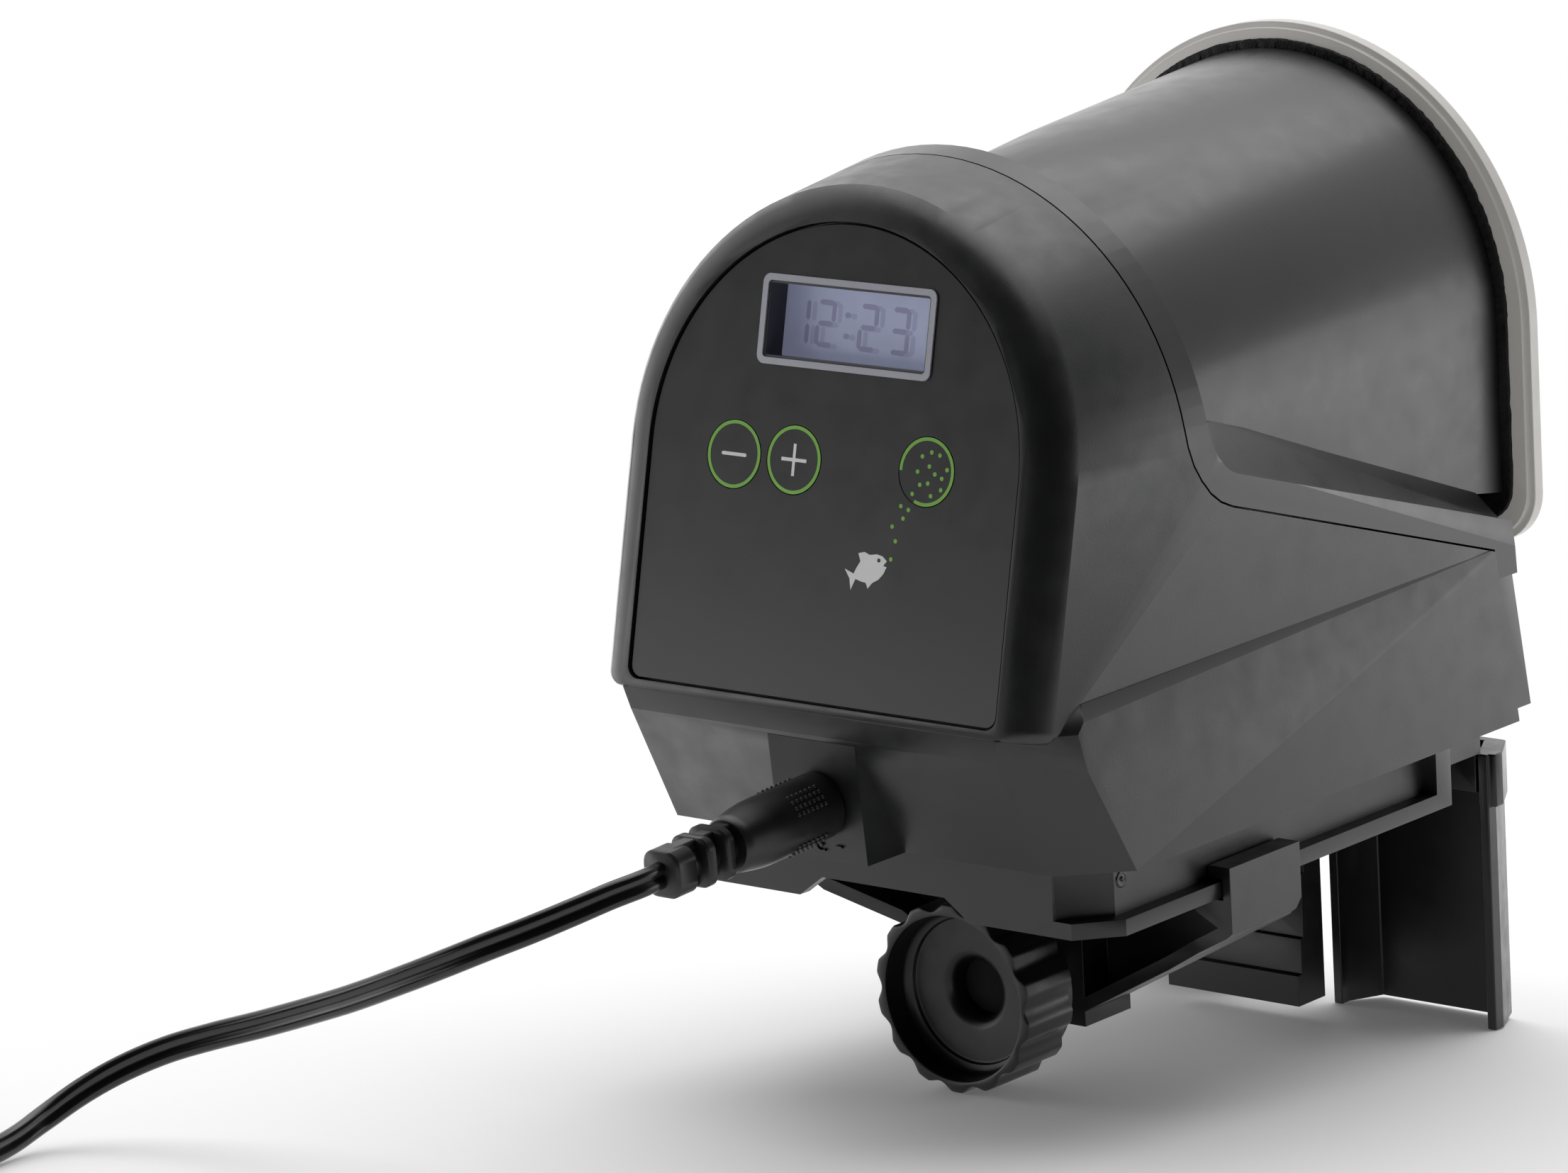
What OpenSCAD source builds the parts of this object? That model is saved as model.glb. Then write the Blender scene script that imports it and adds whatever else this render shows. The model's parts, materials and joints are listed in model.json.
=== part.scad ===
// Automatic fish feeder with a screw clamp for the rim of a tank.
// The body is drawn upright: X to the right of someone facing the panel, Y to the rear, Z up,
// with the front lower edge of the base at Y 0, Z 0. stand() then sets it down on a table,
// where it rests on the clamp knob and the two rear legs, with the front pitched down.

/* [Stance] */
// Pitch of the body when it stands on its clamp, in degrees
stand_pitch = 4.8; // [4:0.1:6]

/* [Body] */
// Width of the lower housing
body_w = 87; // [84:0.5:90]
// Depth from the base's front edge to the rear of the housing
body_d = 98.2; // [96:0.2:100]
// Height of the base under the housing
base_h = 10.5; // [9:0.5:12]
// Wall thickness of the mouldings
wall = 2; // [1.6:0.1:2.4]

/* [Front panel] */
// Width of the arched panel plate
panel_w = 67; // [64:1:70]
// Height of the panel plate along its face
panel_h = 67.8; // [66:0.2:70]
// Angle that the panel leans back
panel_lean = 13.3; // [10:0.1:16]
// Diameter of a key
key_d = 9.8; // [8:0.2:10]

/* [Hopper] */
// Radius of the hopper's rear end
hopper_r = 38.7; // [37:0.1:39.2]
// Radius of the lid's flange
lid_r = 43.3; // [42:0.1:44]
// Distance from the base's front edge to the lid's outer face
lid_y = 106.7; // [105:0.1:108]

/* [Clamp] */
// Height of the clamp screw's axis below the base
screw_drop = 17.3; // [16:0.1:19]
// Diameter of the clamp screw
screw_d = 6; // [5:0.5:6]
// Diameter of the knob over its lobes
knob_d = 28.6; // [27:0.2:30]
// Number of lobes on the knob
knob_lobes = 14; // [10:1:16]
// Width of the pressure plate
plate_w = 24.8; // [22:0.2:26]

/* [Lead] */
// Width of the flat twin lead
lead_w = 4; // [3.6:0.1:4.2]
// Thickness of the flat twin lead
lead_t = 2; // [1.8:0.1:2.2]

/* [Hidden] */
$fn = 96;
eps = 0.01;
gap = 0.3;
// play of a shaft or screw in its bore
fit = 0.05;
half_w = body_w / 2;

// ---- places shared by several parts ----

// rear end of the hopper, and the funnel's throat
hopper_end = 102.6;
funnel_w = 12;
funnel_y = [58, 88];
lid_z = 69.4;
lid_t = 3;

// panel plane: its lower edge, measured from the base's front edge
panel_y = -14.4;
panel_z = 34;
panel_r = panel_w / 2;
panel_arc = panel_h - panel_r;
bevel_out = 6.7;
bevel_back = 5.2;
rim_w = 1.7;

// line where the front housing meets the hopper, seen from the side
seam_top_y = 19.4;
seam_top_z = 107.8;
seam_bend_y = 20.8;
seam_bend_z = 70.6;
seam_bend_r = 14;
seam_low_y = 93.5;
seam_low_z = 37.5;
arch_z = 64.7;
arch_r = 43.1;
// from here to the rear the arch is straight, and its sides draw in towards the ledge
side_y = 27;
ledge_w = [41.3, 43.3];
// width of the hopper's band along the seam
band_w = 4.8;

// lower housing: its upper edge, and the ledge that runs out to nothing at the rear
chin_z = 33;
ledge_z = 38;
ledge_front_y = -3.5;

// display and keys, in the panel's own plane
lcd = [31.6, 12.9];
lcd_at = [0.5, 53.4];
lcd_border = 0.85;
lcd_deep = 4.2;
key_minus_at = [-18, 33.6];
key_plus_at = [-6.9, 33.8];
key_feed_at = [17.2, 34.4];
board_back = 9.2;
board_t = 1.6;

// drive
screw_axis_z = 26;
flight_r = 7;
flight_pitch = 12;
flight_y = [17, 83];
tube_in = 7.4;
tube_out = 8.9;
tube_y = [9, 93];
outlet_y = [9.6, 16.2];
gear_m = 0.6;
dosing_teeth = 40;
idler_teeth = 36;
pinion_teeth = 10;
near_gear_y = 5.4;
far_gear_y = 1.4;
gear_t = 2.8;
mesh_near = gear_m * (dosing_teeth + pinion_teeth) / 2;
mesh_far = gear_m * (idler_teeth + pinion_teeth) / 2;
idler_turn = 40;
idler_at = [mesh_near * sin(idler_turn), screw_axis_z + mesh_near * cos(idler_turn)];
motor_x = 0;
motor_z = idler_at[1] + sqrt(pow(mesh_far, 2) - pow(idler_at[0] - motor_x, 2));
axle_r = 1.5;
shaft_r = 2;
// tooth phases that put the gears in mesh: a tooth of one faces a gap of the other
to_idler = atan2(idler_at[1] - screw_axis_z, idler_at[0]);
near_phase = to_idler + 180 + 180 / pinion_teeth;
to_motor = atan2(motor_z - idler_at[1], motor_x - idler_at[0]);
pinion_phase = to_motor + 180 + 180 / pinion_teeth;

// base and rails
rail_front = 34.2;
rail_out = 39.5;
rail_corner = 5.8;
rail_end = 85.7;
rail_t = 2.4;
groove_in = 37;
groove_end = 82;
spout_w = 17.6;
screw_places = [for (x = [-30, 30], y = [20, 78]) [x, y]];
tongue_x = 24.5;

// clamp
slide_y = [28, 45];
hook_out = 41.3;
vee_low = 25.8;
leg_y = 97.7;
knob_y = 14.2;
knob_deep = 10.8;
knob_hole = 10;
plate_y = [82, 88.8];
plate_t = plate_y[1] - plate_y[0];
knob_foot = screw_drop + knob_d / 2;
leg_foot = knob_foot + (leg_y - knob_y) * tan(stand_pitch);

// low-voltage plug
plug_x = 0.6;
plug_z = 18.9;
boss_y = -14;
boss_z = 28.4;
boss_top_y = -14.15;
boss_low_y = -12.6;
plug_len = 20.8;
sleeve_len = 14;

// place of the body's front lower edge when it stands: behind the table's centre, and above its top
stand_y = -46;
stand_z = knob_foot * cos(stand_pitch) - knob_y * sin(stand_pitch);

// ---- helpers ----

module stand() {
    translate([0, stand_y, stand_z])
        rotate([stand_pitch, 0, 0])
            children();
}

// closes an outline from the points of its right half, listed from front to back
function both_sides(right) = concat(
    right,
    [for (i = [len(right) - 1 : -1 : 0]) [-right[i][0], right[i][1]]]
);

// arch with a round top about the origin and straight sides down to -drop
module arch(r, drop, corner = 1.5) {
    difference() {
        circle(r = r);
        translate([-r - 1, -r - 1]) square([2 * r + 2, r + 1]);
    }
    translate([-r, corner - drop]) square([2 * r, drop - corner]);
    translate([corner - r, -drop]) square([2 * (r - corner), corner + eps]);
    for (s = [-1, 1]) translate([s * (r - corner), corner - drop]) circle(r = corner, $fn = 32);
}

// draws in the panel's plane: X across, Y up the panel from its lower edge, Z out of it
module on_panel(back = 0) {
    translate([0, panel_y, panel_z])
        rotate([90 - panel_lean, 0, 0])
            translate([0, 0, -back])
                children();
}

// upright arch slab whose rear face is at y
module arch_slab(y, r, z, drop, t = eps, corner = 1.5) {
    translate([0, y, z]) rotate([90, 0, 0]) linear_extrude(t) arch(r, drop, corner);
}

// extrudes a side view, drawn in Y and Z, over a width centred on X 0
module side_view(w) {
    rotate([90, 0, 90]) translate([0, 0, -w / 2]) linear_extrude(w) children();
}

// extrudes a front view, drawn in X and Z, from y0 to y1
module front_view(y0, y1) {
    translate([0, y1, 0]) rotate([90, 0, 0]) linear_extrude(y1 - y0) children();
}

module along_y(y0, y1, r, x = 0, z = 0) {
    translate([x, y1, z]) rotate([90, 0, 0]) cylinder(h = y1 - y0, r = r);
}

module rounded_box(size, r) {
    linear_extrude(size[2]) {
        for (sx = [-1, 1]) for (sy = [-1, 1])
            translate([sx * (size[0] / 2 - r), sy * (size[1] / 2 - r)]) circle(r = r, $fn = 32);
        square([size[0] - 2 * r, size[1]], center = true);
        square([size[0], size[1] - 2 * r], center = true);
    }
}

// spur gear from y0 to y1 with one tooth centred at angle turn from +X
module gear(teeth, y0, y1, turn = 0) {
    pitch_r = gear_m * teeth / 2;
    root_r = pitch_r - 1.2 * gear_m;
    tip_r = pitch_r + 0.85 * gear_m;
    step = 360 / teeth;
    flank = [
        [root_r, -0.29], [pitch_r, -0.205], [tip_r, -0.09],
        [tip_r, 0.09], [pitch_r, 0.205], [root_r, 0.29]
    ];
    front_view(y0, y1) polygon([
        for (i = [0 : teeth - 1], p = flank)
            p[0] * [cos(turn + (i + p[1]) * step), sin(turn + (i + p[1]) * step)]
    ]);
}

// ---- housing ----

// side view of everything in front of and below the seam, shifted back by s
module seam_region(s = 0) {
    bend_r = seam_bend_r - s;
    polygon([
        [-60, -60], [-60, 140], [seam_top_y - 1.5 + s, 130],
        [seam_top_y + s, seam_top_z], [seam_bend_y - 0.3 + s, seam_bend_z + 6],
        for (i = [0 : 6]) [
            seam_bend_y + s + bend_r * (1 - cos(i * 12)),
            seam_bend_z - bend_r * sin(i * 12)
        ],
        [seam_low_y + s, seam_low_z + s * 0.78],
        [body_d + s, base_h], [body_d + s, -60]
    ]);
}

// upper half of the arch's outline, with its lower edge drawn in a little
module arch_top(r) {
    polygon([
        for (a = [0 : 360 / $fn : 180]) [r * cos(a), arch_z + r * sin(a)],
        [1 - r, arch_z - 1], [r - 1, arch_z - 1]
    ]);
}

// slice at y of the side walls between arch and ledge, where the half width is w, inset by t
module side_slice(y, w, t) {
    front_view(y - eps, y) polygon(both_sides([[arch_r - t, arch_z], [w - t, chin_z]]));
}

// outer skin of the front bevel, inset by t
module head_skin(t) {
    hull() {
        for (p = [[0, 35.2], [0.9, 37.6], [2.6, 39.3], [bevel_back, panel_r + bevel_out]])
            on_panel(p[0] + t * 1.2 + eps)
                linear_extrude(eps) translate([0, panel_arc]) arch(p[1] - t, panel_arc + 1.6 - t, 2);
        front_view(side_y - eps, side_y) arch_top(arch_r - t);
        side_slice(side_y, ledge_w[0], t);
    }
}

// skin of the arch and its sides from there to y1, inset by t
module rear_skin(t, y1) {
    y0 = side_y - t * 0.1;
    front_view(y0 - eps, y1) arch_top(arch_r - t);
    hull() {
        side_slice(y0, ledge_w[0], t);
        side_slice(y1, ledge_w[1], t);
    }
}

// outer skin of the chin and side walls, inset by t, from z0 upward
module lower_skin(t, z0) {
    hull() {
        // height, then the front's half width and place, then the corner's half width and place
        for (p = [
            [z0, 34.8, -4.2, 43.3, 4],
            [26.8, 33.4, -13.3, 42.3, -4.8],
            [29.2, 33.4, -14.5, 42.1, -5.6],
            [32.4, 34.4, -14.8, 42, -6.2]
        ])
            translate([0, 0, p[0]]) linear_extrude(eps) polygon(both_sides([
                [p[1] - t * 0.6, p[2] + t],
                [p[3] - t, p[4] + t * 0.6],
                [half_w - t, body_d]
            ]));
        for (p = [[ledge_z - 4.1, 42.1, ledge_front_y - 1.5], [ledge_z - 2, 40.7, ledge_front_y]])
            translate([0, 0, p[0]]) linear_extrude(eps)
                polygon(both_sides([[30, p[2] - 2.5 + t], [p[1] - t, p[2] + t]]));
        translate([0, 0, ledge_z]) linear_extrude(eps)
            polygon(both_sides([[half_w - t, body_d - 1], [half_w - t, body_d]]));
    }
}

module front_housing() {
    color([0.17, 0.17, 0.18])
    difference() {
        union() {
            intersection() {
                union() {
                    head_skin(0);
                    lower_skin(0, base_h);
                    rear_skin(0, body_d);
                }
                side_view(120) seam_region();
            }
            // boss around the power socket, which grows out of the chin downward
            side_view(16) polygon([[boss_top_y, boss_z], [boss_low_y, base_h], [-3, base_h], [-3, boss_z]]);
        }
        head_skin(wall);
        lower_skin(wall, base_h - eps);
        rear_skin(wall, body_d + 1);
        // room behind the power socket's boss
        translate([-6.5, boss_y + 4, base_h - eps]) cube([13, 14, 15.5]);
        // pocket for the panel plate and the opening behind it
        on_panel(1.7) linear_extrude(20) translate([0, panel_arc]) arch(panel_r + 0.35, panel_arc + 0.3, 2);
        on_panel(9) linear_extrude(20) translate([0, panel_arc]) arch(panel_r - rim_w, panel_arc - rim_w, 2);
        // plug opening
        along_y(boss_y - 1, 4, 4.4, plug_x, plug_z);
    }
}

module panel_plate() {
    color([0.22, 0.22, 0.24])
    on_panel(1.6)
    difference() {
        linear_extrude(1.2) translate([0, panel_arc]) arch(panel_r, panel_arc, 1.8);
        translate([lcd_at[0], lcd_at[1], -1])
            linear_extrude(4)
                square([lcd[0] - 2 * lcd_border + 0.2, lcd[1] - 2 * lcd_border + 0.2], center = true);
        for (at = [key_minus_at, key_plus_at, key_feed_at])
            translate([at[0], at[1], -1]) cylinder(h = 4, r = key_d / 2 + 0.08);
    }
}

module display_frame() {
    color([0.75, 0.76, 0.77])
    on_panel(lcd_deep) translate([lcd_at[0], lcd_at[1], 0])
    difference() {
        union() {
            translate([0, 0, lcd_deep - 0.38]) rounded_box([lcd[0], lcd[1], 0.3], 0.5);
            linear_extrude(lcd_deep - 0.2)
                square([lcd[0] - 2 * lcd_border, lcd[1] - 2 * lcd_border], center = true);
        }
        translate([0, 0, -1]) linear_extrude(lcd_deep + 2)
            square([lcd[0] - 2 * lcd_border - 0.9, lcd[1] - 2 * lcd_border - 0.9], center = true);
    }
}

module display_window() {
    color([0.8, 0.84, 0.9, 0.4])
    on_panel(lcd_deep + 0.9) translate([lcd_at[0], lcd_at[1], 0])
        rounded_box([lcd[0] - 0.4, lcd[1] - 0.4, 0.8], 0.4);
}

module display_module() {
    color([0.72, 0.76, 0.84])
    on_panel(lcd_deep + 3.8) translate([lcd_at[0], lcd_at[1], 0])
        rounded_box([lcd[0] + 3.4, lcd[1] + 2.4, 2.8], 0.6);
}

// one key: a disc in the panel with a stem that reaches its switch
module key(at) {
    on_panel(1.2) translate([at[0], at[1], 0]) {
        cylinder(h = 0.8, r = key_d / 2);
        translate([0, 0, -0.9]) cylinder(h = 1, r = key_d / 2 - 1.2);
        translate([0, 0, -5.2]) cylinder(h = 5, r = 1.3, $fn = 48);
    }
}

module key_minus() { color([0.22, 0.22, 0.24]) key(key_minus_at); }
module key_plus() { color([0.22, 0.22, 0.24]) key(key_plus_at); }
module key_feed() { color([0.22, 0.22, 0.24]) key(key_feed_at); }

module circuit_board() {
    color([0.10, 0.35, 0.20])
    on_panel(board_back + board_t) {
        translate([0, 29, 0]) rounded_box([56, 34, board_t], 1);
        // controller and two capacitors on the rear side
        translate([8, 26, -1.4]) linear_extrude(1.5) square([9, 9], center = true);
        for (x = [-10, -16]) translate([x, 38, -3.4]) cylinder(h = 3.5, r = 2, $fn = 48);
    }
}

module key_switches() {
    color([0.12, 0.12, 0.13])
    for (at = [key_minus_at, key_plus_at, key_feed_at])
        on_panel(board_back) translate([at[0], at[1], 0]) {
            linear_extrude(1.9) square([6, 6], center = true);
            cylinder(h = 2.3, r = 1.6, $fn = 48);
        }
}

module power_socket() {
    color([0.12, 0.12, 0.13])
    difference() {
        translate([plug_x - 4.5, boss_y + 4.2, plug_z - 5.5]) cube([9, 11, 10]);
        along_y(boss_y, -1.5, 3.2, plug_x, plug_z);
    }
    color([0.8, 0.8, 0.8])
    along_y(boss_y + 5.5, -1.4, 1, plug_x, plug_z, $fn = 48);
}

// ---- hopper ----

// everything above the line where the chamber wall meets its shelf, lowered by s
module above_shelf(s = 0) {
    side_view(120) polygon([
        [28, 120], [28, 70 - s], [36, 67.5 - s], [95, 48.4 - s], [hopper_end, 47.2 - s], [hopper_end, 120]
    ]);
}

// outer skin of the food chamber, inset by t
module chamber_skin(t) {
    hull() {
        arch_slab(28.5 + t, 34.6 - t, 66.8, 26, corner = 3);
        arch_slab(60, 36.6 - t, 68.6, 30, corner = 3);
        arch_slab(hopper_end, hopper_r - t, 70.2, 34, corner = 3);
    }
}

// funnel from the chamber's floor to the dosing tube, grown by t
module funnel(t) {
    hull() {
        for (p = [[30.6, 32.5, 68], [99, 36.3, 47.8]])
            translate([-p[1] - t * 0.2, p[0] - t * 0.3, p[2] - t]) cube([2 * p[1] + t * 0.4, 1, t + 0.1]);
        translate([-funnel_w / 2 - t, funnel_y[0] - t, 36])
            cube([funnel_w + 2 * t, funnel_y[1] - funnel_y[0] + 2 * t, 1]);
    }
}

module hopper_shell() {
    color([0.20, 0.20, 0.21])
    difference() {
        union() {
            intersection() {
                chamber_skin(0);
                above_shelf(3);
            }
            funnel(1.6);
        }
        intersection() {
            chamber_skin(wall);
            above_shelf(0);
        }
        funnel(0);
        // throat of the funnel
        translate([-funnel_w / 2, funnel_y[0], 30]) cube([funnel_w, funnel_y[1] - funnel_y[0], 8]);
        // mouth for the lid
        arch_slab(hopper_end + 1, hopper_r - wall, 70.2, 22, 4, 3);
    }
}

// band that follows the seam, flush with the front housing
module seam_band() {
    intersection() {
        difference() {
            union() {
                head_skin(0);
                rear_skin(0, 110);
            }
            front_view(10, 111) translate([0, arch_z]) arch(arch_r - wall - 0.9, arch_z - base_h, 1);
        }
        side_view(120) seam_region(band_w);
        translate([-60, 10, base_h + 1.5]) cube([120, 110, 120]);
    }
}

// sloping shelf from the band up to the chamber wall, inset by t
module band_skin(t) {
    hull() {
        side_view(2 * (arch_r - 0.8 - t)) polygon([
            [24.5, 57], [29, 62 - t], [34.8, 59 - t], [97.6, 40.8 - t], [98.6 - t, 36.4],
            [103 - t, base_h + 1.5], [97, base_h + 1.5], [seam_low_y - 6, seam_low_z - 4], [34, 51]
        ]);
        side_view(2 * (35.6 - t)) polygon([
            [30, 69 - t], [36, 68 - t], [95, 48.8 - t], [97, 40], [36, 50]
        ]);
    }
}

// collar around the chamber, which closes the housing behind the seam
module hopper_collar() {
    color([0.19, 0.19, 0.20])
    difference() {
        union() {
            seam_band();
            // step from the band's arch to the chamber
            hull() {
                arch_slab(20, arch_r - wall - 0.5, arch_z, 20);
                arch_slab(29, arch_r - 4.5, arch_z + 0.5, 20);
            }
            band_skin(0);
        }
        side_view(120) seam_region(gap);
        band_skin(wall);
        // room for the chamber and its funnel
        intersection() {
            chamber_skin(-fit);
            above_shelf(3 + fit);
        }
        funnel(1.6 + fit);
    }
}

module lid_outline(r, inset = 0) {
    arch(r - inset, 33.4 - inset, 8 - inset / 2);
}

module hopper_lid() {
    mouth_r = hopper_r - wall - 1.1;
    color([0.62, 0.60, 0.56])
    translate([0, 0, lid_z]) {
        difference() {
            union() {
                front_view(lid_y - 2.2, lid_y) lid_outline(lid_r);
                front_view(lid_y - lid_t, lid_y - 2.1) lid_outline(lid_r, 0.9);
                // skirt inside the hopper's mouth
                translate([0, 0, 0.8]) front_view(lid_y - 12, lid_y - 1) arch(mouth_r, 21.2, 3);
            }
            translate([0, 0, 0.8]) front_view(lid_y - 13, lid_y - lid_t) arch(mouth_r - 1.5, 19.8, 3);
            // finger scoop in the rear face
            translate([0, lid_y + 8, -18]) rotate([0, 90, 0]) cylinder(h = 30, r = 9, center = true);
        }
    }
}

module lid_gasket() {
    color([0.05, 0.05, 0.05])
    translate([0, 0, lid_z + 0.8])
    difference() {
        front_view(hopper_end + 0.2, lid_y - lid_t) arch(hopper_r + 1.4, 31, 6);
        front_view(90, 110) arch(hopper_r - wall - 0.3, 21.6, 3);
    }
}

// ---- base ----

module rail_plan() {
    polygon(both_sides([[rail_front, 0], [rail_out, rail_corner], [rail_out, rail_end]]));
}

// channel above each rail, which the clamp's hooks run in
module rail_groove() {
    translate([0, 0, rail_t]) linear_extrude(20) polygon([
        [31, 0.6], [groove_in, 6.6], [groove_in, groove_end], [50, groove_end], [50, -3], [31, -3]
    ]);
}

module base_plate() {
    color([0.19, 0.19, 0.20])
    difference() {
        union() {
            difference() {
                linear_extrude(base_h + eps) rail_plan();
                // clear room inside the rim
                translate([0, 0, -1]) linear_extrude(base_h + 1) polygon(both_sides([
                    [rail_front - 3.4, 2.2],
                    [groove_in - 2, rail_corner + 2.4],
                    [groove_in - 2, rail_end - 2.5]
                ]));
                for (s = [-1, 1]) scale([s, 1, 1]) rail_groove();
                // notch in the front rim
                translate([0, 5, 0]) rotate([90, 0, 0]) linear_extrude(10)
                    polygon(both_sides([[15.8, -1], [15.7, 0], [11.3, 3.2]]));
            }
            // rear shelf
            translate([-groove_in, rail_end - 3, 5])
                cube([2 * groove_in, body_d - 1.2 - rail_end + 3, base_h - 5 + eps]);
            // floor inside the housing
            translate([0, 0, base_h]) linear_extrude(2) polygon(both_sides([
                [32.6, 0.2],
                [half_w - wall - 0.5, 8],
                [half_w - wall - 0.5, 95]
            ]));
            // spout of the outlet
            translate([-spout_w / 2, outlet_y[0] - 1.6, 5])
                cube([spout_w, outlet_y[1] - outlet_y[0] + 3.2, base_h - 4]);
            // saddles under the dosing tube
            for (y = [30, 74]) translate([-7, y, base_h + 1]) cube([14, 3, 7]);
        }
        translate([1 - tube_in, outlet_y[0], -1]) cube([2 * tube_in - 2, outlet_y[1] - outlet_y[0], 30]);
        along_y(20, 90, tube_out + fit, 0, screw_axis_z);
        for (at = screw_places) translate([at[0], at[1], 0]) cylinder(h = 20, r = 1.7, $fn = 48);
        // slots for the rear jaw's tongues
        for (s = [-1, 1]) translate([s * tongue_x - 5.7, rail_end - 8, 1.6]) cube([11.4, 9, 3.3]);
    }
}

module housing_screws() {
    color([0.75, 0.75, 0.76])
    for (at = screw_places) translate([at[0], at[1], base_h]) difference() {
        union() {
            translate([0, 0, -2]) cylinder(h = 2, r = 2.9, $fn = 48);
            cylinder(h = 10, r = 1.5, $fn = 48);
        }
        for (a = [0, 90]) rotate(a) translate([-1.7, -0.4, -2.5]) cube([3.4, 0.8, 1.5]);
    }
}

// one leg of the rear jaw, in plan: a shallow channel that opens to the front
module leg_plan() {
    // bead, flange, web, flange, bead
    polygon([
        [36, leg_y], [37.6, leg_y], [37.6, leg_y + 2], [34.4, 106.6],
        [10.6, 106.6], [7.4, leg_y + 2], [7.4, leg_y], [9, leg_y],
        [9, leg_y + 2], [11.6, 104.9], [33.4, 104.9], [36, leg_y + 2]
    ]);
}

module rear_jaw() {
    color([0.16, 0.16, 0.17]) {
        for (s = [1, -1]) scale([s, 1, 1]) {
            translate([0, 0, -leg_foot]) linear_extrude(leg_foot + 4.6) leg_plan();
            // thick head of the outer flange
            translate([0, 0, -3.6]) linear_extrude(8.2) polygon([
                [36, leg_y], [38.6, leg_y + 0.8], [38.6, leg_y + 2.6], [35, 106.6], [32, 106.6], [32, 105]
            ]);
            // tongue held in the base
            translate([tongue_x - 5.5, rail_end - 6, 1.8]) cube([11, 26, 2.8]);
        }
        // bar across the tops of both legs
        translate([-34.6, leg_y + 1.3, -2]) cube([69.2, 2.2, 6.6]);
        translate([-9, leg_y + 1.3, 2]) cube([18, 8.6, 2.6]);
    }
}

// ---- drive ----

module dosing_tube() {
    color([0.80, 0.80, 0.78])
    difference() {
        union() {
            along_y(tube_y[0], tube_y[1], tube_out, 0, screw_axis_z);
            // collar under the hopper's funnel
            translate([-funnel_w / 2 - 1.6, funnel_y[0] - 1.6, screw_axis_z + 4])
                cube([funnel_w + 3.2, funnel_y[1] - funnel_y[0] + 3.2, 5.8]);
        }
        along_y(tube_y[0] + 1.6, tube_y[1] - 1.6, tube_in, 0, screw_axis_z);
        along_y(tube_y[0] - 1, tube_y[1] + 1, 3.5, 0, screw_axis_z);
        translate([1 - tube_in, outlet_y[0], 0])
            cube([2 * tube_in - 2, outlet_y[1] - outlet_y[0], screw_axis_z]);
        translate([-funnel_w / 2, funnel_y[0], screw_axis_z])
            cube([funnel_w, funnel_y[1] - funnel_y[0], 30]);
    }
}

module dosing_screw() {
    color([0.90, 0.90, 0.88]) {
        along_y(near_gear_y, tube_y[1] + 2, shaft_r, 0, screw_axis_z, $fn = 48);
        // single-start flight
        translate([0, flight_y[1], screw_axis_z]) rotate([90, 0, 0])
            linear_extrude(
                height = flight_y[1] - flight_y[0],
                twist = 360 * (flight_y[1] - flight_y[0]) / flight_pitch,
                slices = 132,
                $fn = 12
            )
                translate([1, -1]) square([flight_r - 1, 2]);
    }
}

module dosing_gear() {
    color([0.90, 0.90, 0.88])
    difference() {
        translate([0, 0, screw_axis_z]) gear(dosing_teeth, near_gear_y, near_gear_y + gear_t, to_idler);
        along_y(0, 20, shaft_r + fit, 0, screw_axis_z, $fn = 48);
    }
}

module shaft_bushes() {
    color([0.72, 0.55, 0.25])
    for (y = [tube_y[0] - 0.4, tube_y[1] - 1.6]) difference() {
        along_y(y, y + 2, 3.5, 0, screw_axis_z, $fn = 48);
        along_y(y - 1, y + 3, shaft_r + fit, 0, screw_axis_z, $fn = 48);
    }
}

module gear_motor() {
    color([0.70, 0.70, 0.72])
    translate([motor_x, 0, motor_z]) {
        front_view(far_gear_y + 5.4, far_gear_y + 25.4) intersection() {
            circle(r = 10);
            square([20, 14.6], center = true);
        }
        along_y(far_gear_y + 4.6, far_gear_y + 6, 3);
    }
}

module motor_pinion() {
    color([0.85, 0.85, 0.83])
    translate([motor_x, 0, motor_z]) {
        gear(pinion_teeth, far_gear_y, far_gear_y + gear_t, pinion_phase);
        along_y(far_gear_y + gear_t - eps, far_gear_y + 4.5, 1, $fn = 48);
    }
}

module idler_gear() {
    color([0.90, 0.90, 0.88])
    translate([idler_at[0], 0, idler_at[1]]) difference() {
        union() {
            gear(idler_teeth, far_gear_y, far_gear_y + gear_t, to_motor);
            gear(pinion_teeth, far_gear_y + gear_t - eps, near_gear_y + gear_t, near_phase);
        }
        along_y(-5, 20, axle_r + fit, $fn = 48);
    }
}

module idler_axle() {
    color([0.75, 0.75, 0.76])
    along_y(far_gear_y - 1, near_gear_y + gear_t + 2, axle_r, idler_at[0], idler_at[1], $fn = 48);
}

module motor_bracket() {
    color([0.25, 0.25, 0.26])
    difference() {
        union() {
            // plate behind the gears, from the base up to the motor
            front_view(near_gear_y + gear_t + 0.5, near_gear_y + gear_t + 2) polygon([
                [12, base_h + 2], [20, base_h + 2], [20, 50], [12, 58], [-12, 58],
                [-12, 40], [-2, 38], [8, 36], [12, 30]
            ]);
            translate([12, near_gear_y + gear_t + 0.5, base_h + 2]) cube([8, 8, 2]);
        }
        translate([motor_x, 0, motor_z]) front_view(0, 40) intersection() {
            circle(r = 10.05);
            square([20.1, 14.7], center = true);
        }
        along_y(0, 40, axle_r + fit, idler_at[0], idler_at[1], $fn = 48);
    }
}

// ---- clamp ----

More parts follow.
